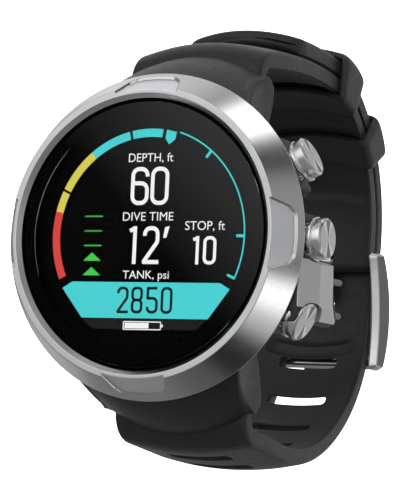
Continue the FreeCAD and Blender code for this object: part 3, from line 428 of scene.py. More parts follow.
def softened(node, voxel, passes):
    """A CAD node's shape as a fine even mesh with every edge rounded, as it leaves the mould."""
    mesh = frame["nodes"][node].data.copy()
    built = bmesh.new()
    built.from_mesh(mesh)
    bmesh.ops.remove_doubles(built, verts=built.verts, dist=2e-7)
    built.to_mesh(mesh)
    built.free()
    piece = bpy.data.objects.new(node + "_moulded", mesh)
    bpy.context.scene.collection.objects.link(piece)
    remesh = piece.modifiers.new("even", "REMESH")
    remesh.mode = "VOXEL"
    remesh.voxel_size = voxel * MM
    soften = piece.modifiers.new("soften", "SMOOTH")
    soften.iterations = passes
    soften.factor = 0.5
    reduce = piece.modifiers.new("reduce", "DECIMATE")
    reduce.ratio = 0.4
    bpy.context.view_layer.update()
    applied(piece)
    piece.data.materials.clear()
    piece.data.materials.append(MATS[SLOT_OF[node]])
    piece.data.shade_smooth()
    return settle(piece, BODY_OF[node], [node])


# ---------------------------------------------------------------- bezel
BEZEL_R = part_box("bezel")[1].x / MM
FRONT_H = -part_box("bezel")[0].y / MM
BASE_H = -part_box("bezel")[1].y / MM
EDGE_H = BASE_H + 0.4
RING_OUT_R = 23.56
RING_IN_R = 22.5
POCKET_R = 21.8
POCKET_DEPTH = 0.5
POCKET_LOW_H = 12.3
CONE_SLOPE = (BEZEL_R - RING_OUT_R) / (FRONT_H - EDGE_H)
CONE_N = np.array((1.0, CONE_SLOPE)) / math.hypot(1.0, CONE_SLOPE)


def pocket_depth(radius, height, side):
    """How far a point of the bezel's cone sits in a grip pocket, from 0 at its rim to 1 on its floor."""
    half = 4.6 + (5.65 - 4.6) * (height - 13.2) / (FRONT_H - 13.2)
    corner = ((abs(side) - 3.4) * -0.9 + (height - POCKET_LOW_H) * 1.2) / 1.5
    inside = min(height - POCKET_LOW_H, (half - abs(side)) * 0.95, corner)
    return smooth(inside, 0.0, 0.26)


def bezel():
    outline = rounded([(22.3, BASE_H, 0.0), (BEZEL_R - 0.4, BASE_H, 0.12), (BEZEL_R, EDGE_H, 0.22),
                       (RING_OUT_R, FRONT_H, 0.16), (RING_IN_R, FRONT_H, 0.10), (POCKET_R, 15.5, 0.08),
                       (POCKET_R, 13.4, 0.0), (20.4, 13.4, 0.05), (20.4, 12.6, 0.0), (22.3, 12.6, 0.0)])
    outline = [(r, h) for r, h in split_long(outline, 0.13)]
    angles = set()
    for quarter in range(4):
        fine = np.concatenate([np.arange(8.5, 15.0, 0.13), np.arange(15.0, 45.0, 1.0),
                               np.arange(0.0, 8.5, 0.8)])
        for angle in fine:
            angles.add(round(90.0 * quarter + angle, 3))
            angles.add(round((90.0 * quarter - angle) % 360.0, 3))
    angles = sorted(angles)
    points = []
    limit = BEZEL_R - POCKET_DEPTH
    for angle in angles:
        turn = math.radians(angle)
        beside = math.radians((angle + 45.0) % 90.0 - 45.0)
        for r, h in outline:
            sunk = ((r - limit) + CONE_SLOPE * (h - EDGE_H)) * CONE_N[0]
            if h > POCKET_LOW_H and r > RING_IN_R and sunk > 0:
                depth = sunk * pocket_depth(r, h, r * math.sin(beside))
                r, h = r - depth * CONE_N[0], h - depth * CONE_N[1]
            points.append((r * math.cos(turn), -h, r * math.sin(turn)))
    piece = make("bezel_finished", points, grid_faces(len(angles), len(outline), close_rows=True),
                 MATS["bezel_steel"], "watch", ["bezel"], sharp=40.0)
    piece.data.materials.append(MATS["ring_steel"])
    piece.data.materials.append(MATS["pocket_steel"])
    for face in piece.data.polygons:
        spot = face.center / MM
        r, h = math.hypot(spot.x, spot.z), -spot.y
        beside = math.radians((math.degrees(math.atan2(spot.z, spot.x)) + 45.0) % 90.0 - 45.0)
        # Flat ring takes ring_steel; pocket floors take pocket_steel, whose lighter colour is partly painted
        # light.
        if abs(face.normal.y) > 0.98 and h > FRONT_H - 0.1:
            face.material_index = 1
        elif r > RING_IN_R and h > POCKET_LOW_H and pocket_depth(r, h, r * math.sin(beside)) > 0.9:
            face.material_index = 2
    return piece


def lathe(outline, segments):
    """Points and faces of a solid turned about local Z from (radius, z) points, closed at both ends."""
    points = [(0.0, 0.0, outline[0][1])]
    points += [(r * math.cos(2 * math.pi * k / segments), r * math.sin(2 * math.pi * k / segments), z)
               for r, z in outline for k in range(segments)]
    points.append((0.0, 0.0, outline[-1][1]))
    faces = [tuple(part + 1 for part in face) for face in grid_faces(len(outline), segments)]
    last = len(points) - 1
    for k in range(segments):
        after = (k + 1) % segments
        faces.append((0, 1 + after, 1 + k))
        faces.append((last, last - segments + k, last - segments + after))
    return points, faces


def crystal():
    """The sapphire, with a fine polished edge."""
    outline = rounded([(0.5, 13.4, 0.0), (21.3, 13.4, 0.03), (21.3, 15.4, 0.14), (0.5, 15.4, 0.0)], 4)
    points, faces = lathe(outline, 240)
    points = [(x, -z, y) for x, y, z in points]
    make("crystal_polished", points, faces, MATS["crystal_glass"], "watch", ["crystal"],
         sharp=20.0)


# ---------------------------------------------------------------- push-buttons
PUSHER_H = 7.0
PUSHERS = {"upper_button": 27.5, "middle_button": 0.0, "lower_button": -27.5}


def button(name, angle):
    """Stem, flange and polished cap, turned about the pusher's own axis."""
    outline = rounded([(0.0, 19.0, 0.0), (1.2, 19.0, 0.0), (1.5, 19.3, 0.05), (1.5, 26.4, 0.0),
                       (3.5, 26.4, 0.06), (3.5, 27.0, 0.10), (3.12, 27.0, 0.03), (3.12, 27.16, 0.03), (3.3, 27.16, 0.05),
                       (3.3, 28.38, 0.07), (2.98, 28.7, 0.08), (0.0, 28.58, 0.0)], 4)
    points, faces = lathe([point for point in outline if point[0] > 1e-6], 96)
    turn = math.radians(angle)
    way = Vector((math.cos(turn), 0.0, math.sin(turn)))
    place = way.to_track_quat("Z", "Y").to_matrix().to_4x4()
    place.translation = (0.0, -PUSHER_H * MM, 0.0)
    piece = make(name + "_cap", points, faces, MATS["button_steel"], name, [name],
                 sharp=30.0, place=place)
    # The cap's end face takes the painted sunray highlights and painted dark reflections.
    piece.data.materials.append(MATS["button_face"])
    for face in piece.data.polygons:
        if face.center.z > 28.4 * MM and math.hypot(face.center.x, face.center.y) < 2.95 * MM:
            face.material_index = 1
    return piece


# ---------------------------------------------------------------- strap paths
STRAP_T = 2.9
LAYER = 3.2
HALF_LUG = 12.0
HALF_BACK = 10.9
CREST_R = 116.0
BACK_R = 22.6
LUG_Y = 3.7
LUG_Z = 23.1
CORNER_R = 2.0
CORNER_Y = LUG_Y + CORNER_R
CROWN_FRONT, CROWN_LOW, CROWN_BACK = 2.0, 1.5, 0.5


def out(heading):
    return np.array((math.sin(math.radians(heading)), -math.cos(math.radians(heading))))


def crown(x, rise):
    return rise * (1.0 - (x / HALF_LUG) ** 2)


CREST_CENTRE = np.array((CORNER_Y, 27.5)) - (CREST_R - CORNER_R) * out(189.0)
LOOP_CENTRE = CREST_CENTRE + (CREST_R - BACK_R) * out(175.0)
BACK_N = out(85.0)
BACK_T = np.array((math.cos(math.radians(85.0)), math.sin(math.radians(85.0))))
SHORT_END = LOOP_CENTRE + BACK_R * BACK_N - 5.4 * BACK_T


class Path:
    """A chain of straight runs and left-hand arcs in the (y, z) plane; the loop's outside is on its right."""

    def __init__(self, spot, heading):
        self.spot = np.array(spot, float)
        self.heading = heading
        self.runs = []

    def line(self, length):
        self.runs.append((self.spot, self.heading, length, 0.0))
        self.spot = self.point(-1, 1.0)[0]
        return self

    def arc(self, radius, degrees):
        self.runs.append((self.spot, self.heading, radius, degrees))
        self.spot, self.heading = self.point(-1, 1.0)
        return self

    def point(self, index, share):
        spot, heading, size, degrees = self.runs[index]
        bend = heading + share * degrees
        if degrees:
            return spot + size * (out(bend) - out(heading)), bend
        way = np.array((math.cos(math.radians(bend)), math.sin(math.radians(bend))))
        return spot + share * size * way, bend

    def beside(self, index, share, offset):
        spot, bend = self.point(index, share)
        return spot + offset * out(bend)

    def lengths(self):
        return [size * math.radians(degrees) if degrees else size for _, _, size, degrees in self.runs]


def back_centre(x):
    return LOOP_CENTRE + (crown(x, CROWN_FRONT) - crown(x, CROWN_BACK)) * out(175.0)


def short_path(x):
    """Wrist side of the short strap, from the buckle over the top to the upper lug."""
    radius = BACK_R + crown(x, CROWN_BACK)
    front = crown(x, CROWN_FRONT)
    start = back_centre(x) + radius * BACK_N
    run = (start - SHORT_END) @ BACK_T
    hood = 180.0 + math.degrees(math.asin((CREST_CENTRE[0] - CORNER_Y) / (CREST_R + front - CORNER_R)))
    path = Path(start - run * BACK_T, 85.0).line(run).arc(radius, 90.0)
    path.arc(CREST_R + front, hood - 175.0).arc(CORNER_R, 270.0 - hood)
    return path.line(path.spot[1] - LUG_Z)


def long_path(x):
    """Wrist side of the long strap, from the lower lug round the back to its tail."""
    front = crown(x, CROWN_LOW)
    radius = BACK_R + crown(x, CROWN_BACK) + LAYER
    slope = math.radians(-9.0)
    path = Path((LUG_Y, -LUG_Z), -90.0).line(-LUG_Z + 28.0 + front / math.cos(slope)).arc(CORNER_R, 81.0)
    path.line(12.0 + front * math.tan(slope)).arc(37.4 + front, 39.0)
    first = out(75.0) - out(30.0)
    second = out(85.0) - out(75.0)
    need = back_centre(x) + radius * BACK_N - path.spot
    sizes = np.linalg.solve(np.array((first, second)).T, need)
    path.arc(sizes[0], 45.0).arc(sizes[1], 10.0).arc(radius, 90.0)
    return path.arc(CREST_R + crown(x, CROWN_FRONT) + LAYER, 9.5)


PATHS = {}


def path_at(maker, x):
    key = (maker.__name__, round(abs(x), 4))
    if key not in PATHS:
        PATHS[key] = maker(abs(x))
    return PATHS[key]


def station(maker, distance):
    """Run and share at a distance along the middle of a strap."""
    lengths = path_at(maker, 0.0).lengths()
    for index, length in enumerate(lengths):
        if distance <= length or index == len(lengths) - 1:
            return index, min(1.0, distance / length)
        distance -= length


def half_at(y):
    return HALF_LUG + (HALF_BACK - HALF_LUG) * min(1.0, max(0.0, (y - 12.0) / 32.0))


# ---------------------------------------------------------------- straps
RIM_R = 0.35                 # rounding of the slots' rims
SLOT_HALF = (5.5, 0.95)      # at the wrist side
SLOT_OUT = 1.6               # half height outside: the slots widen outwards
SLOT_LEAN = {5: 2.0, 6: 0.9}
SLOT_CORNER = 0.5
WINDOW_HALF = (3.35, 2.7)    # slot stretched open by the tongue
INNER_SHARES = (0.0, 0.22, 0.42, 0.60, 0.74, 0.84, 0.92, 1.0)
OUTER_SHARES = (0.05, 0.11, 0.2, 0.34, 0.52, 0.72, 0.88, 1.0)
EDGE_OUT, EDGE_IN = 0.75, 0.45


def slot_distance(x, along, half_x, half_s):
    """Signed distance from a round-ended slot's edge; negative inside."""
    round_r = min(half_x, half_s, SLOT_CORNER)
    a = abs(x) - (half_x - round_r)
    b = abs(along) - (half_s - round_r)
    return math.hypot(max(a, 0.0), max(b, 0.0)) + min(max(a, b), 0.0) - round_r


def strap_stations(total, slots, step=0.55):
    """Distances along a strap, close together at the slots' edges and at both ends."""
    marks = [0.0, 0.1, 0.25, 0.45, 0.7, 1.0]
    marks += [total - 1.0, total - 0.7, total - 0.45, total - 0.25, total - 0.1, total]
    for centre, _, half_s in slots:
        fixed = [half_s * math.sin(math.radians(angle)) for angle in range(-90, 91, 15)]
        fixed += [side * (half_s + gap) for side in (-1, 1) for gap in (0.06, 0.13, 0.21, 0.29, RIM_R, 0.6)]
        marks += [centre + value for value in fixed]
    marks = sorted(mark for mark in marks if 0.0 <= mark <= total)
    filled = [marks[0]]
    for mark in marks[1:]:
        gap = mark - filled[-1]
        if gap < 1e-4:
            continue
        pieces = math.ceil(gap / step)
        filled += [filled[-1] + gap * (k + 1) / pieces for k in range(pieces)]
    return filled


def end_inset(distance, total, start_r, end_r):
    """How much thinner a strap is on each side where its end is rounded."""
    inset = 0.0
    for left, radius in ((distance, start_r), (total - distance, end_r)):
        if left < radius:
            inset = max(inset, radius - math.sqrt(radius * radius - (radius - left) ** 2))
    return inset


def strap(name, maker, slots, relief, half_of, end_of, start_r, end_r):
    """A strap as a grid of rings. relief(side, x, distance) is how deep its surface is moulded in."""
    total = sum(path_at(maker, 0.0).lengths())
    inner_marks = [0.0] + [centre + side * half_s for centre, _, half_s in slots for side in (-1, 1)] + [total]
    mouths = [mark for centre, _, half_s in slots for mark in outer_mouth(centre, half_s)]
    outer_marks = [0.0] + mouths + [total]
    rings = []
    flags = []
    for distance in strap_stations(total, slots):
        near = min(slots, key=lambda slot: abs(distance - slot[0]), default=None)
        edge_x, along = 5.0, 99.0
        if near is not None:
            along = distance - near[0]
            width, length = near[1], near[2]
            if abs(along) < length - 1e-6:
                round_r = min(width, length, SLOT_CORNER)
                past = max(0.0, abs(along) - (length - round_r))
                edge_x = width - round_r + math.sqrt(max(0.0, round_r ** 2 - past ** 2))
            else:
                share = smooth(abs(along) - length, 0.0, 2.2)
                edge_x = (width - min(width, length, SLOT_CORNER)) * (1 - share) + 5.0 * share
        inset = end_inset(distance, total, start_r, end_r)
        index, share = station(maker, distance)
        half = half_of(index, share)
        reach = half - max(EDGE_OUT, inset)
        lines = [edge_x * part for part in INNER_SHARES]
        lines += [edge_x + (reach - edge_x) * part for part in OUTER_SHARES]
        lines = [-x for x in reversed(lines[1:])] + lines

        moved = float(np.interp(distance, inner_marks, outer_marks)) - distance

        def spot(x, offset, side=0):
            leaning = distance + moved * offset / STRAP_T * cross(x, 9.5, 3.0)
            at, part = end_of(*station(maker, leaning), x) if abs(moved) > 1e-6 else end_of(index, share, x)
            if side:
                sink = relief(side, x, distance)
                if near is not None:
                    gap = slot_distance(x, along, near[1], near[2])
                    if gap < RIM_R:
                        sink += RIM_R - math.sqrt(max(0.0, RIM_R ** 2 - (RIM_R - max(gap, 0.0)) ** 2))
                offset += sink * (1 if side < 0 else -1)
            y, z = path_at(maker, x).beside(at, part, offset)
            return x, y, z

        low, high = inset, STRAP_T - inset
        ring = [spot(x, low, -1) for x in lines]
        middle = []
        for k in range(1, 5):
            turn = math.radians(90.0 * k / 5)
            lower = min(EDGE_IN, (high - low) / 2)
            middle.append((reach + (half - inset * 0.6 - reach) * math.sin(turn),
                           low + lower * (1 - math.cos(turn))))
        for k in range(0, 5):
            turn = math.radians(90.0 * k / 5)
            upper = min(EDGE_OUT, (high - low) / 2)
            middle.append((reach + (half - inset * 0.6 - reach) * math.cos(turn),
                           high - upper * (1 - math.sin(turn))))
        ring += [spot(x, offset) for x, offset in middle]
        ring += [spot(x, high, 1) for x in reversed(lines)]
        ring += [spot(-x, offset) for x, offset in reversed(middle)]
        rings.append(ring)
        flags.append(near is not None and abs(along) <= near[2] + 1e-6)
    columns = len(rings[0])
    count = len(lines)
    first = count // 2 - len(INNER_SHARES) + 1
    last = count // 2 + len(INNER_SHARES) - 1
    far = count + len(middle)
    points = [point for ring in rings for point in ring]
    faces = []

    def opposite(column):
        return far + (count - 1 - column)

    for row in range(len(rings) - 1):
        here, there = row * columns, (row + 1) * columns
        open_row = flags[row] and flags[row + 1]
        for column in range(columns):
            beside = (column + 1) % columns
            inner = first <= column < last
            outer = opposite(last) <= column < opposite(first)
            if open_row and (inner or outer):
                continue
            faces.append((here + column, here + beside, there + beside, there + column))
        if open_row:
            for column, sign in ((first, 1), (last, -1)):
                quad = (here + column, there + column, there + opposite(column), here + opposite(column))
                faces.append(quad if sign > 0 else quad[::-1])
            for this, other in ((row, row - 1), (row + 1, row + 2)):
                if not (flags[min(this, other)] and flags[max(this, other)]):
                    base = this * columns
                    for column in range(first, last):
                        faces.append((base + column, base + column + 1,
                                      base + opposite(column + 1), base + opposite(column)))
    faces.append(tuple(range(columns)))
    faces.append(tuple(range(len(points) - 1, len(points) - columns - 1, -1)))
    return make(name + "_moulded", points, faces, MATS["strap_rubber"], "", sharp=38.0)


def cutter_box(low, high):
    """Points and faces of a box to cut with."""
    corners = [(x, y, z) for x in (low[0], high[0]) for y in (low[1], high[1]) for z in (low[2], high[2])]
    faces = [(0, 1, 3, 2), (4, 6, 7, 5), (0, 4, 5, 1), (2, 3, 7, 6), (0, 2, 6, 4), (1, 5, 7, 3)]
    return corners, faces


def cutter_rod(radius, y, z, half=16.0, sides=32):
    corners = [(x, y + radius * math.cos(2 * math.pi * k / sides), z + radius * math.sin(2 * math.pi * k / sides))
               for x in (-half, half) for k in range(sides)]
    faces = [(k, (k + 1) % sides, sides + (k + 1) % sides, sides + k) for k in range(sides)]
    return corners, faces + [tuple(range(sides)), tuple(range(2 * sides - 1, sides - 1, -1))]


def cut(piece, cutters):
    """Take boxes and rods out of a piece."""
    tools = []
    for index, (corners, faces) in enumerate(cutters):
        tool = make("cutter_%d" % index, corners, faces, MATS["strap_rubber"], "")
        work = piece.modifiers.new("cut", "BOOLEAN")
        work.object = tool
        work.operation = "DIFFERENCE"
        work.solver = "EXACT"
        tools.append(tool)
    bpy.context.view_layer.update()
    applied(piece)
    for tool in tools:
        bpy.data.objects.remove(tool)
    piece.data.shade_smooth()
    piece.data.set_sharp_from_angle(angle=math.radians(38.0))
    return piece


BAR_Y, BAR_Z = 2.2, 24.6


def lug_cutters(way):
    """Bore of the spring bar and window of its thumb tab."""
    z = way * BAR_Z
    return [cutter_rod(0.93, BAR_Y, z), cutter_box((4.9, BAR_Y, z - 1.15), (9.2, BAR_Y + 4.0, z + 1.15))]


def groove(distance, centre, half, depth):
    """A moulded channel across the strap with soft shoulders."""
    return depth * (1.0 - smooth(abs(distance - centre), half * 0.55, half))


def cross(x, half, edge=0.8):
    """1 in the middle of the strap, fading to 0 at a distance from its centre line."""
    return 1.0 - smooth(abs(x), half - edge, half)


def short_half(index, share):
    return half_at(path_at(short_path, 0.0).point(index, share)[0][0])


def long_half(index, share):
    return HALF_BACK if index >= 5 else half_at(path_at(long_path, 0.0).point(index, share)[0][0])


def short_relief(side, x, distance):
    """Air channels on the wrist side."""
    if side > 0:
        return 0.0
    return sum(groove(distance, centre, half, depth) for centre, half, depth in SHORT_CHANNELS) * cross(x, 9.6)


SHORT_CHANNELS = ((41.8, 1.5, 0.55), (30.7, 1.1, 0.5), (25.8, 1.7, 0.55), (15.0, 1.3, 0.4))
LONG_CHANNELS = ((66.3, 1.6, 0.5),)


def long_relief(side, x, distance):
    """A shallow bed for the buckle's tongue on the wrist side, and soft steps near the lug outside."""
    if side < 0:
        channels = sum(groove(distance, centre, half, depth) for centre, half, depth in LONG_CHANNELS)
        return channels * cross(x, 8.6)
    return groove(distance, 7.6, 0.9, 0.35) * cross(x, 10.6)


TAIL_Y = 17.0
TAIL_CORNER = 4.0
TAIL_BOW = 0.8


def plain_end(index, share, x):
    return index, share


def tail_end(index, share, x):
    """The tail's last run is shortened towards its rounded corners."""
    if index < 7:
        return index, share
    flat = HALF_BACK - TAIL_CORNER
    if abs(x) <= flat:
        y = TAIL_Y + TAIL_BOW * (x / flat) ** 2
    else:
        y = TAIL_Y + TAIL_BOW + TAIL_CORNER - math.sqrt(max(0.0, TAIL_CORNER ** 2 - (abs(x) - flat) ** 2))
    path = path_at(long_path, x)
    reach = path.lengths()[7]
    top = path.beside(7, 0.0, STRAP_T / 2)[0]
    return index, share * min(1.0, (top - y) / (top - path.beside(7, 1.0, STRAP_T / 2)[0]))


def outer_mouth(centre, half_s):
    """Where the two long edges of a slot come out on the outside of the strap."""
    if half_s > 2.0:
        return centre - half_s, centre + half_s
    lean = SLOT_LEAN.get(round((centre - 13.8) / 8.3), 0.0)
    return centre + lean - SLOT_OUT, centre + lean + SLOT_OUT


SLOTS = [(13.8 + 8.3 * k, *SLOT_HALF) for k in range(7)] + [(88.5 + 8.3 * k, *SLOT_HALF) for k in range(4)]
LONG_LENGTHS = path_at(long_path, 0.0).lengths()
WINDOW_AT = sum(LONG_LENGTHS[:5]) + 0.30 * LONG_LENGTHS[5] - 0.1
SLOTS.append((WINDOW_AT, *WINDOW_HALF))
SLOTS.sort()


def straps():
    rod = path_at(short_path, HALF_BACK).beside(0, 0.33, 1.7)
    upper = strap("upper_strap", short_path, [], short_relief, short_half, plain_end, 1.3, 1.0)
    cut(upper, lug_cutters(1) + [cutter_box((-3.5, rod[0] - 4, rod[1] - 4), (3.5, rod[0] + 4, rod[1] + 1.9))])
    settle(upper, "watch", ["upper_strap"])
    lower = strap("lower_strap", long_path, SLOTS, long_relief, long_half, tail_end, 1.0, 1.2)
    cut(lower, lug_cutters(-1))
    settle(lower, "watch", ["lower_strap"])
    return upper, lower


# ---------------------------------------------------------------- keepers
KEEPER_WALL = 1.2
KEEPERS = {"upper_keeper": (72.0, 8.0), "lower_keeper": (37.0, 6.6)}


def keeper(name, angle, length):
    """Rubber loop round both layers, with rounded edges and a slightly domed outside."""
    half_angle = math.degrees(length / 2 / (BACK_R + LAYER))
    front = LOOP_CENTRE[0] + (BACK_R + LAYER) * out(angle + 90.0 + half_angle)[0]
    reach = min(1.0, max(0.0, 44.0 - front) / 32.0)
    inner_x = HALF_BACK + (HALF_LUG - HALF_BACK) * reach + 0.35
    top = LAYER + STRAP_T + 0.25
    outer_x = inner_x + KEEPER_WALL

    def loop(half, low, high, corner):
        """Points round the opening in the (x, offset) plane, starting at the wrist side."""
        sides = [(-half, low, corner), (half, low, corner), (half, high, corner), (-half, high, corner)]
        return split_long(rounded(sides, 6), 0.7)

    outside = loop(outer_x, -1.55, top + KEEPER_WALL, 1.6)
    inside = []
    for x, offset in outside:
        inside.append((max(-inner_x, min(inner_x, x * inner_x / (outer_x - 0.3))),
                       max(-0.35, min(top, offset))))
    section = rounded([(-1.0, 0.0, 0.10), (1.0, 0.0, 0.10), (1.0, 1.0, 0.42), (-1.0, 1.0, 0.42)], 5)
    section = split_long(section, 0.22)
    points = []
    for (x0, o0), (x1, o1) in zip(inside, outside):
        for a, b in section:
            x = x0 + (x1 - x0) * b
            dome = 0.25 * b * (1.0 - a * a) if o1 > top else 0.0
            offset = o0 + (o1 - o0) * b + dome
            radius = BACK_R + crown(x, CROWN_BACK)
            place = back_centre(x) + (radius + offset) * out(angle + 90.0 + half_angle * a)
            points.append((x, place[0], place[1]))
    faces = grid_faces(len(outside), len(section), close_rows=True)
    return make(name + "_moulded", points, faces, MATS["keeper_rubber"], name, [name],
                sharp=50.0)


# ---------------------------------------------------------------- buckle
ARM_IN_X, ARM_OUT_X = 11.2, 12.8
END_BAR_R = 1.0
END_BAR = path_at(long_path, 0.0).beside(4, 0.90, STRAP_T + END_BAR_R + 0.1)
ROD = path_at(short_path, HALF_BACK).beside(0, 0.33, 1.7)
ROD_R = 0.9


def arc_through(first, middle, last, steps):
    """Points of the circular arc through three places, without its two ends."""
    ax, ay = middle - first
    bx, by = last - first
    twice = 2.0 * (ax * by - ay * bx)
    centre = first + np.array(((by * (ax * ax + ay * ay) - ay * (bx * bx + by * by)) / twice,
                               (ax * (bx * bx + by * by) - bx * (ax * ax + ay * ay)) / twice))
    start = first - centre
    end = last - centre
    turn = math.atan2(start[0] * end[1] - start[1] * end[0], start @ end)
    out = []
    for k in range(1, steps):
        angle = turn * k / steps
        out.append(centre + np.array((start[0] * math.cos(angle) - start[1] * math.sin(angle),
                                      start[0] * math.sin(angle) + start[1] * math.cos(angle))))
    return out


def buckle():
    """Two curved side arms with broad chamfers, joined by the end bar; the rod ends inside the arms."""
    top, low = ROD[1] + 1.9, END_BAR[1] - 1.3
    inner_top = np.array((ROD[0] - 3.2, top - 0.4))
    inner_low = np.array((END_BAR[0] - 3.3, low + 0.3))
    hollow = (inner_top + inner_low) / 2 + np.array((1.5, 0.0))
    outer_low = np.array((END_BAR[0] + 1.0, low + 0.1))
    outer_top = np.array((ROD[0] + 1.4, top))
    bulge = (outer_low + outer_top) / 2 + np.array((3.3, 0.0))
    side = [(*inner_top, 0.9)] + [(*spot, 0.0) for spot in arc_through(inner_top, hollow, inner_low, 12)]
    side += [(*inner_low, 0.9), (*outer_low, 0.9)]
    side += [(*spot, 0.0) for spot in arc_through(outer_low, bulge, outer_top, 12)] + [(*outer_top, 0.9)]
    outline = np.array(split_long(rounded(side, 5), 0.6))
    middle = outline.mean(0)
    section = [(0.0, 0.12), (0.04, 0.04), (0.10, 0.0), (0.30, 0.02), (0.45, 0.08), (1.40, 0.52), (1.53, 0.61),
               (1.60, 0.72), (1.60, 0.78)]
    ahead = np.roll(outline, -1, 0) - np.roll(outline, 1, 0)
    inward = np.stack((ahead[:, 1], -ahead[:, 0]), 1)
    inward /= np.linalg.norm(inward, axis=1)[:, None]
    if ((middle - outline) * inward).sum() < 0:
        inward = -inward
    points, faces = [], []
    for sign in (1, -1):
        base = len(points)
        for step, inset in section:
            for spot in outline + inward * inset:
                points.append((sign * (ARM_IN_X + step), spot[0], spot[1]))
        count = len(outline)
        faces += [tuple(base + k for k in face) for face in grid_faces(len(section), count)]
        faces.append(tuple(range(base, base + count)))
        faces.append(tuple(range(base + (len(section) - 1) * count, base + len(section) * count)))
    piece = make("buckle_frame_polished", points, faces, MATS["buckle_steel"], "buckle_frame", ["buckle_frame"],
                 sharp=38.0)
    piece.data.materials.append(MATS["buckle_side"])
    # The arms' flat outer sides take buckle_side, a darker copy of the steel painted as shade for their dark
    # reflection.
    for face in piece.data.polygons:
        if abs(face.normal.x) > 0.93 and abs(face.center.x) > (ARM_IN_X + 0.8) * MM:
            face.material_index = 1
    for name, body, replaces, radius, spot, hidden in (
            ("buckle_end_bar", "buckle_frame", ("buckle_frame",), END_BAR_R, END_BAR, 0.5),
            ("buckle_rod_turned", BODY_OF["buckle_rod"], ("buckle_rod",), ROD_R, ROD, 0.08)):
        corners, sides = cutter_rod(radius, spot[0], spot[1], ARM_OUT_X - hidden, 40)
        make(name, corners, sides, MATS["buckle_steel"], body, replaces)
    return piece


# ---------------------------------------------------------------- display
DIAL_H = 13.36               # printed figures float just above the display
RIM_H = 15.35                # black edge printed close under the face of the glass


def on_dial(name, points, faces, color, height=DIAL_H):
    """A flat printed shape; the black prints take the display's painted reflection gradient."""
    coat = MATS["dial_black"] if color == "black" else PRINT[color]
    return make("print_" + name, [(x, -height, z) for x, z in points], faces, coat, "watch")


def polygon(name, points, color, height=DIAL_H):
    return on_dial(name, points, [tuple(range(len(points)))], color, height)


def band(name, radius, width, start, end, color, steps=60, height=DIAL_H):
    """Part of a ring, angles in degrees clockwise from 12 o'clock."""
    points = []
    for k in range(steps + 1):
        turn = math.radians(start + (end - start) * k / steps)
        for r in (radius - width / 2, radius + width / 2):
            points.append((r * math.sin(turn), r * math.cos(turn)))
    faces = [(2 * k, 2 * k + 1, 2 * k + 3, 2 * k + 2) for k in range(steps)]
    return on_dial(name, points, faces, color, height)


def ribbon(name, corners, width, color, closed=False, level=DIAL_H):
    """A line of constant width through (x, z, radius) corners."""
    line = np.array(rounded(corners, 6))
    count = len(line)
    points = []
    for k, spot in enumerate(line):
        before = line[k - 1] if k or closed else line[0]
        after = line[(k + 1) % count] if k < count - 1 or closed else line[-1]
        first = (spot - before) / max(1e-9, np.linalg.norm(spot - before))
        second = (after - spot) / max(1e-9, np.linalg.norm(after - spot))
        along = first + second
        along /= np.linalg.norm(along)
        beside = np.array((-along[1], along[0]))
        straight = first if first.any() else second
        reach = width / 2 / max(0.45, beside @ np.array((-straight[1], straight[0])))
        points += [tuple(spot - beside * reach), tuple(spot + beside * reach)]
    faces = [(2 * k, 2 * k + 1, 2 * k + 3, 2 * k + 2) for k in range(count - 1)]
    if closed:
        faces.append((2 * count - 2, 2 * count - 1, 1, 0))
    return on_dial(name, points, faces, color, level)


def figure(name, digit, x, z, width, height, stroke, color, level=DIAL_H):
    """One narrow numeral, centred at a point."""
    left, right = x - width / 2 + stroke / 2, x + width / 2 - stroke / 2
    low, high = z - height / 2 + stroke / 2, z + height / 2 - stroke / 2
    round_r = (width - stroke) * 0.42
    waist = low + (high - low) * (0.5 if digit == 8 else 0.58)
    hook = height * 0.20
    if digit == 0:
        ring = [(left, low, round_r), (right, low, round_r), (right, high, round_r), (left, high, round_r)]
        lines = [(ring, True)]
    elif digit == 1:
        lines = [([(left, high - height * 0.07, 0), (right, high, 0.02), (right, z - height / 2, 0)], False),
                 ([(right, high, 0), (right, z + height / 2, 0)], False)]
    elif digit == 2:
        lines = [([(left, high - hook, 0), (left, high, round_r), (right, high, round_r),
                   (right, high - height * 0.36, 0.9), (left, low + height * 0.02, 0.02), (left, low, 0.01),
                   (x + width / 2, low, 0)], False)]
    elif digit == 5:
        lines = [([(x + width / 2 - stroke * 0.4, high, 0), (left, high, 0.01), (left, waist, 0.02),
                   (right, waist, round_r), (right, low, round_r), (left, low, round_r), (left, low + hook, 0)],
                  False)]
    elif digit == 6:
        lines = [([(right, high - hook, 0), (right, high, round_r), (left, high, round_r), (left, low, round_r),
                   (right, low, round_r), (right, waist, round_r), (left, waist, 0)], False)]
    else:
        bottom = [(left, low), (right, low), (right, waist), (left, waist)]
        top = [(left, waist), (right, waist), (right, high), (left, high)]
        lines = [([(a, b, round_r * 0.9) for a, b in row], True) for row in (bottom, top)]
    for index, (corners, closed) in enumerate(lines):
        ribbon("%s_%d" % (name, index), corners, stroke, color, closed, level)


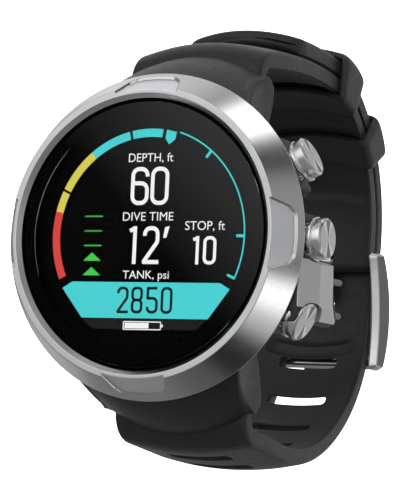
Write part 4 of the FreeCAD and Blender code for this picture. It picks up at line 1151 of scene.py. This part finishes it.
def words(name, text, x, base, cap, width, color, bold=0.0):
    """Flat lettering standing on a base line, centred on x, scaled to a capital height and a width."""
    meshes = []
    for body in ("H", text):
        data = bpy.data.curves.new(name, "FONT")
        data.body = body
        data.offset = bold
        data.resolution_u = 6
        flat = bpy.data.objects.new(name, data)
        bpy.context.scene.collection.objects.link(flat)
        bpy.context.view_layer.update()
        graph = bpy.context.evaluated_depsgraph_get()
        meshes.append(bpy.data.meshes.new_from_object(flat.evaluated_get(graph)))
        bpy.data.objects.remove(flat)
    tall = max(point.co.y for point in meshes[0].vertices)
    spots = [point.co for point in meshes[1].vertices]
    low, high = min(spot.x for spot in spots), max(spot.x for spot in spots)
    points = [(x + ((spot.x - low) / (high - low) - 0.5) * width, base + spot.y * cap / tall) for spot in spots]
    return on_dial(name, points, [tuple(face.vertices) for face in meshes[1].polygons], color)


GAUGE_R, GAUGE_WIDTH = 16.45, 1.34


def display():
    """The lit dive page: a gauge round the rim, readouts in the middle, tank bar at the bottom."""
    for index, (start, end, color) in enumerate(((321.6, 346.9, "teal"), (348.5, 367.3, "teal"),
                                                 (296.2, 321.6, "yellow"), (283.1, 294.8, "yellow"),
                                                 (245.2, 283.1, "red"))):
        band("gauge_%d" % index, GAUGE_R, GAUGE_WIDTH, start, end, color)
    band("scale", 17.2, 0.25, 17.4, 114.0, "teal", 120)
    band("border", 19.85, 3.1, 0.0, 360.0, "black", 180)
    band("rim", 20.35, 1.7, 0.0, 360.0, "black", 180, RIM_H)
    for index, (angle, half) in enumerate(((39.0, 0.8), (90.5, 0.8), (113.4, 0.7))):
        band("mark_%d" % index, 16.5, 1.4, angle - half, angle + half, "teal", 4)
    polygon("pointer", [(2.80, 16.90), (4.57, 16.47), (4.37, 15.32), (3.29, 14.51), (2.58, 15.47)], "teal")

    words("depth_label", "DEPTH, ft", 0.17, 11.78, 1.36, 8.0, "white")
    figure("depth_tens", 6, -1.60, 7.88, 3.25, 6.15, 0.66, "white")
    figure("depth_ones", 0, 1.96, 7.88, 3.25, 6.15, 0.66, "white")
    words("time_label", "DIVE TIME", 0.12, 2.31, 1.35, 9.05, "white")
    figure("time_tens", 1, -2.55, -1.62, 1.60, 6.07, 0.66, "white")
    figure("time_ones", 2, 0.85, -1.62, 2.95, 6.07, 0.66, "white")
    polygon("time_minutes", [(3.25, 1.23), (4.08, 1.43), (3.55, -0.45), (2.98, -0.45)], "white")
    words("tank_label", "TANK, psi", 0.17, -6.98, 1.27, 8.25, "white")
    words("stop_label", "STOP, ft", 10.30, 0.79, 1.38, 7.0, "white")
    figure("stop_tens", 1, 8.73, -2.44, 1.30, 4.50, 0.54, "white")
    figure("stop_ones", 0, 11.28, -2.44, 2.30, 4.50, 0.54, "white")

    for index, z in enumerate((3.05, 0.67, -1.69)):
        polygon("rate_line_%d" % index,
                [(-11.27, z - 0.1), (-8.10, z - 0.1), (-8.10, z + 0.1), (-11.27, z + 0.1)],
                "green")
    for index, z in enumerate((-4.16, -6.51)):
        polygon("rate_arrow_%d" % index, [(-11.27, z), (-8.07, z), (-9.73, z + 1.36)], "green")

    polygon("tank_bar", [(-14.87, -8.59), (-13.11, -7.52), (13.34, -7.60), (15.09, -8.57), (11.46, -13.34),
                         (-11.08, -13.32)], "teal")
    polygon("tank_shade", [(-11.0, -13.42), (11.4, -13.44), (9.41, -15.05), (-8.96, -15.09)], "grey")
    for index, (digit, x) in enumerate(((2, -3.74), (8, -1.17), (5, 1.55), (0, 4.12))):
        figure("tank_%d" % index, digit, x, -10.42, 2.08, 4.29, 0.46, "ink", DIAL_H + 0.03)
    above = DIAL_H + 0.03
    ribbon("battery_shell", [(-3.40, -15.10, 0.12), (3.26, -15.10, 0.12), (3.26, -13.88, 0.12),
                             (-3.40, -13.88, 0.12)], 0.17, "white", True, above)
    polygon("battery_nub", [(3.40, -14.72), (3.66, -14.72), (3.66, -14.26), (3.40, -14.26)], "white", above)
    polygon("battery_level", [(-3.18, -14.93), (1.13, -14.93), (1.13, -14.05), (-3.18, -14.05)], "white", above)


# ---------------------------------------------------------------- build
bezel()
crystal()
for button_name, button_angle in PUSHERS.items():
    button(button_name, button_angle)
straps()
for keeper_name, (keeper_angle, keeper_length) in KEEPERS.items():
    keeper(keeper_name, keeper_angle, keeper_length)
softened("mid_case", 0.22, 3)
buckle()
refined("sensor_cover", 0.20, 3, 12.0)
display()


# ---------------------------------------------------------------- floor, camera, light
def floor():
    mesh = bpy.data.meshes.new("floor")
    size = 4.0
    corners = [(-size, -size, 0), (size, -size, 0), (size, size, 0), (-size, size, 0)]
    mesh.from_pydata(corners, [], [(0, 1, 2, 3)])
    plate = bpy.data.objects.new("floor", mesh)
    bpy.context.scene.collection.objects.link(plate)
    plate.location.z = CAD_LOW.z - 0.0003
    made = Material("floor", (0.93, 0.93, 0.93), 0.8)
    made.tint(made.noise(2.0, 2.0), (0.90, 0.90, 0.90), 0.5)
    made.set("Emission Color", (1.0, 1.0, 1.0, 1.0))
    made.set("Emission Strength", 1.0)
    mesh.materials.append(made.mat)
    plate.visible_glossy = False
    plate.visible_diffuse = False


def camera():
    data = bpy.data.cameras.new("camera")
    data.sensor_width = 36.0
    data.lens = 171.06
    data.clip_start = 0.01
    eye = bpy.data.objects.new("camera", data)
    bpy.context.scene.collection.objects.link(eye)
    yaw, pitch, roll = math.radians(26.20), math.radians(5.127), math.radians(2.584)
    ahead = Vector((-math.sin(yaw) * math.cos(pitch), math.cos(yaw) * math.cos(pitch), math.sin(pitch)))
    level = Vector((math.cos(yaw), math.sin(yaw), 0.0))
    above = level.cross(ahead)
    right = math.cos(roll) * level + math.sin(roll) * above
    up = -math.sin(roll) * level + math.cos(roll) * above
    turn = Matrix((right, up, -ahead)).transposed()
    eye.matrix_world = Matrix.Translation((0.17427, -0.34813, -0.03586)) @ turn.to_4x4()
    bpy.context.scene.camera = eye


def sky():
    """Studio surroundings: white behind the object, soft boxes and dark flags in reflections."""
    world = bpy.data.worlds.new("studio")
    bpy.context.scene.world = world
    world.use_nodes = True
    tree = world.node_tree
    tree.nodes.clear()

    def node(kind, **settings):
        new = tree.nodes.new(kind)
        for key, value in settings.items():
            setattr(new, key, value)
        return new

    direction = node("ShaderNodeTexCoord").outputs["Generated"]
    total = None
    for (x, y, z), inner, outer, strength in LOBES:
        way = Vector((x, y, z)).normalized()
        dot = node("ShaderNodeVectorMath", operation="DOT_PRODUCT")
        dot.inputs[1].default_value = way
        tree.links.new(direction, dot.inputs[0])
        ranged = node("ShaderNodeMapRange", interpolation_type="SMOOTHSTEP")
        ranged.inputs["From Min"].default_value = math.cos(math.radians(outer))
        ranged.inputs["From Max"].default_value = math.cos(math.radians(inner))
        ranged.inputs["To Min"].default_value = 0.0
        ranged.inputs["To Max"].default_value = strength
        tree.links.new(dot.outputs["Value"], ranged.inputs["Value"])
        if total is None:
            total = ranged.outputs["Result"]
        else:
            add = node("ShaderNodeMath", operation="ADD")
            tree.links.new(total, add.inputs[0])
            tree.links.new(ranged.outputs["Result"], add.inputs[1])
            total = add.outputs["Value"]
    base = node("ShaderNodeMath", operation="ADD")
    base.inputs[1].default_value = AMBIENT
    tree.links.new(total, base.inputs[0])
    low = node("ShaderNodeMath", operation="MAXIMUM")
    low.inputs[1].default_value = 0.012
    tree.links.new(base.outputs["Value"], low.inputs[0])
    soft = node("ShaderNodeBackground")
    tree.links.new(low.outputs["Value"], soft.inputs["Strength"])
    soft.inputs["Color"].default_value = (1.0, 1.0, 1.0, 1.0)
    white = node("ShaderNodeBackground")
    white.inputs["Strength"].default_value = 3.0
    path = node("ShaderNodeLightPath")
    mix = node("ShaderNodeMixShader")
    tree.links.new(path.outputs["Is Camera Ray"], mix.inputs["Fac"])
    tree.links.new(soft.outputs["Background"], mix.inputs[1])
    tree.links.new(white.outputs["Background"], mix.inputs[2])
    tree.links.new(mix.outputs["Shader"], node("ShaderNodeOutputWorld").inputs["Surface"])


# direction, full to this many degrees, gone at this many, strength
AMBIENT = 0.22
LOBES = [
    ((0.31, 0.31, 0.90), 2.0, 14.0, 2.6),
    ((0.64, 0.23, 0.74), 3.0, 13.0, -0.32),
    ((-0.45, 0.58, 0.70), 12.0, 34.0, 0.50),
    ((0.88, 0.135, -0.45), 2.0, 12.0, 1.9),
    ((0.70, 0.155, -0.69), 4.0, 12.0, 0.52),
    ((0.45, 0.20, -0.87), 6.0, 17.0, -0.40),
    ((0.14, 0.26, -0.95), 8.0, 24.0, -0.09),
    ((0.94, 0.15, 0.25), 14.0, 30.0, 0.16),
    ((0.97, 0.13, -0.21), 2.0, 9.0, -0.22),
    ((-0.40, -0.84, 0.38), 6.0, 34.0, 0.82),
    ((-0.69, 0.70, -0.22), 7.0, 17.0, 0.26),
    ((-0.56, 0.74, 0.36), 6.0, 15.0, 0.20),
    ((0.44, 0.89, 0.05), 22.0, 50.0, 0.32),
    ((-0.30, 0.02, 0.95), 12.0, 30.0, 0.30),
    ((-0.85, 0.30, 0.35), 14.0, 30.0, 0.14),
    ((0.20, -0.75, 0.62), 20.0, 45.0, 0.4),
    ((0.52, -0.85, 0.08), 20.0, 44.0, 0.5),
]

floor()
camera()
sky()
bpy.context.scene.view_settings.view_transform = "Standard"
bpy.context.scene.view_settings.look = "None"
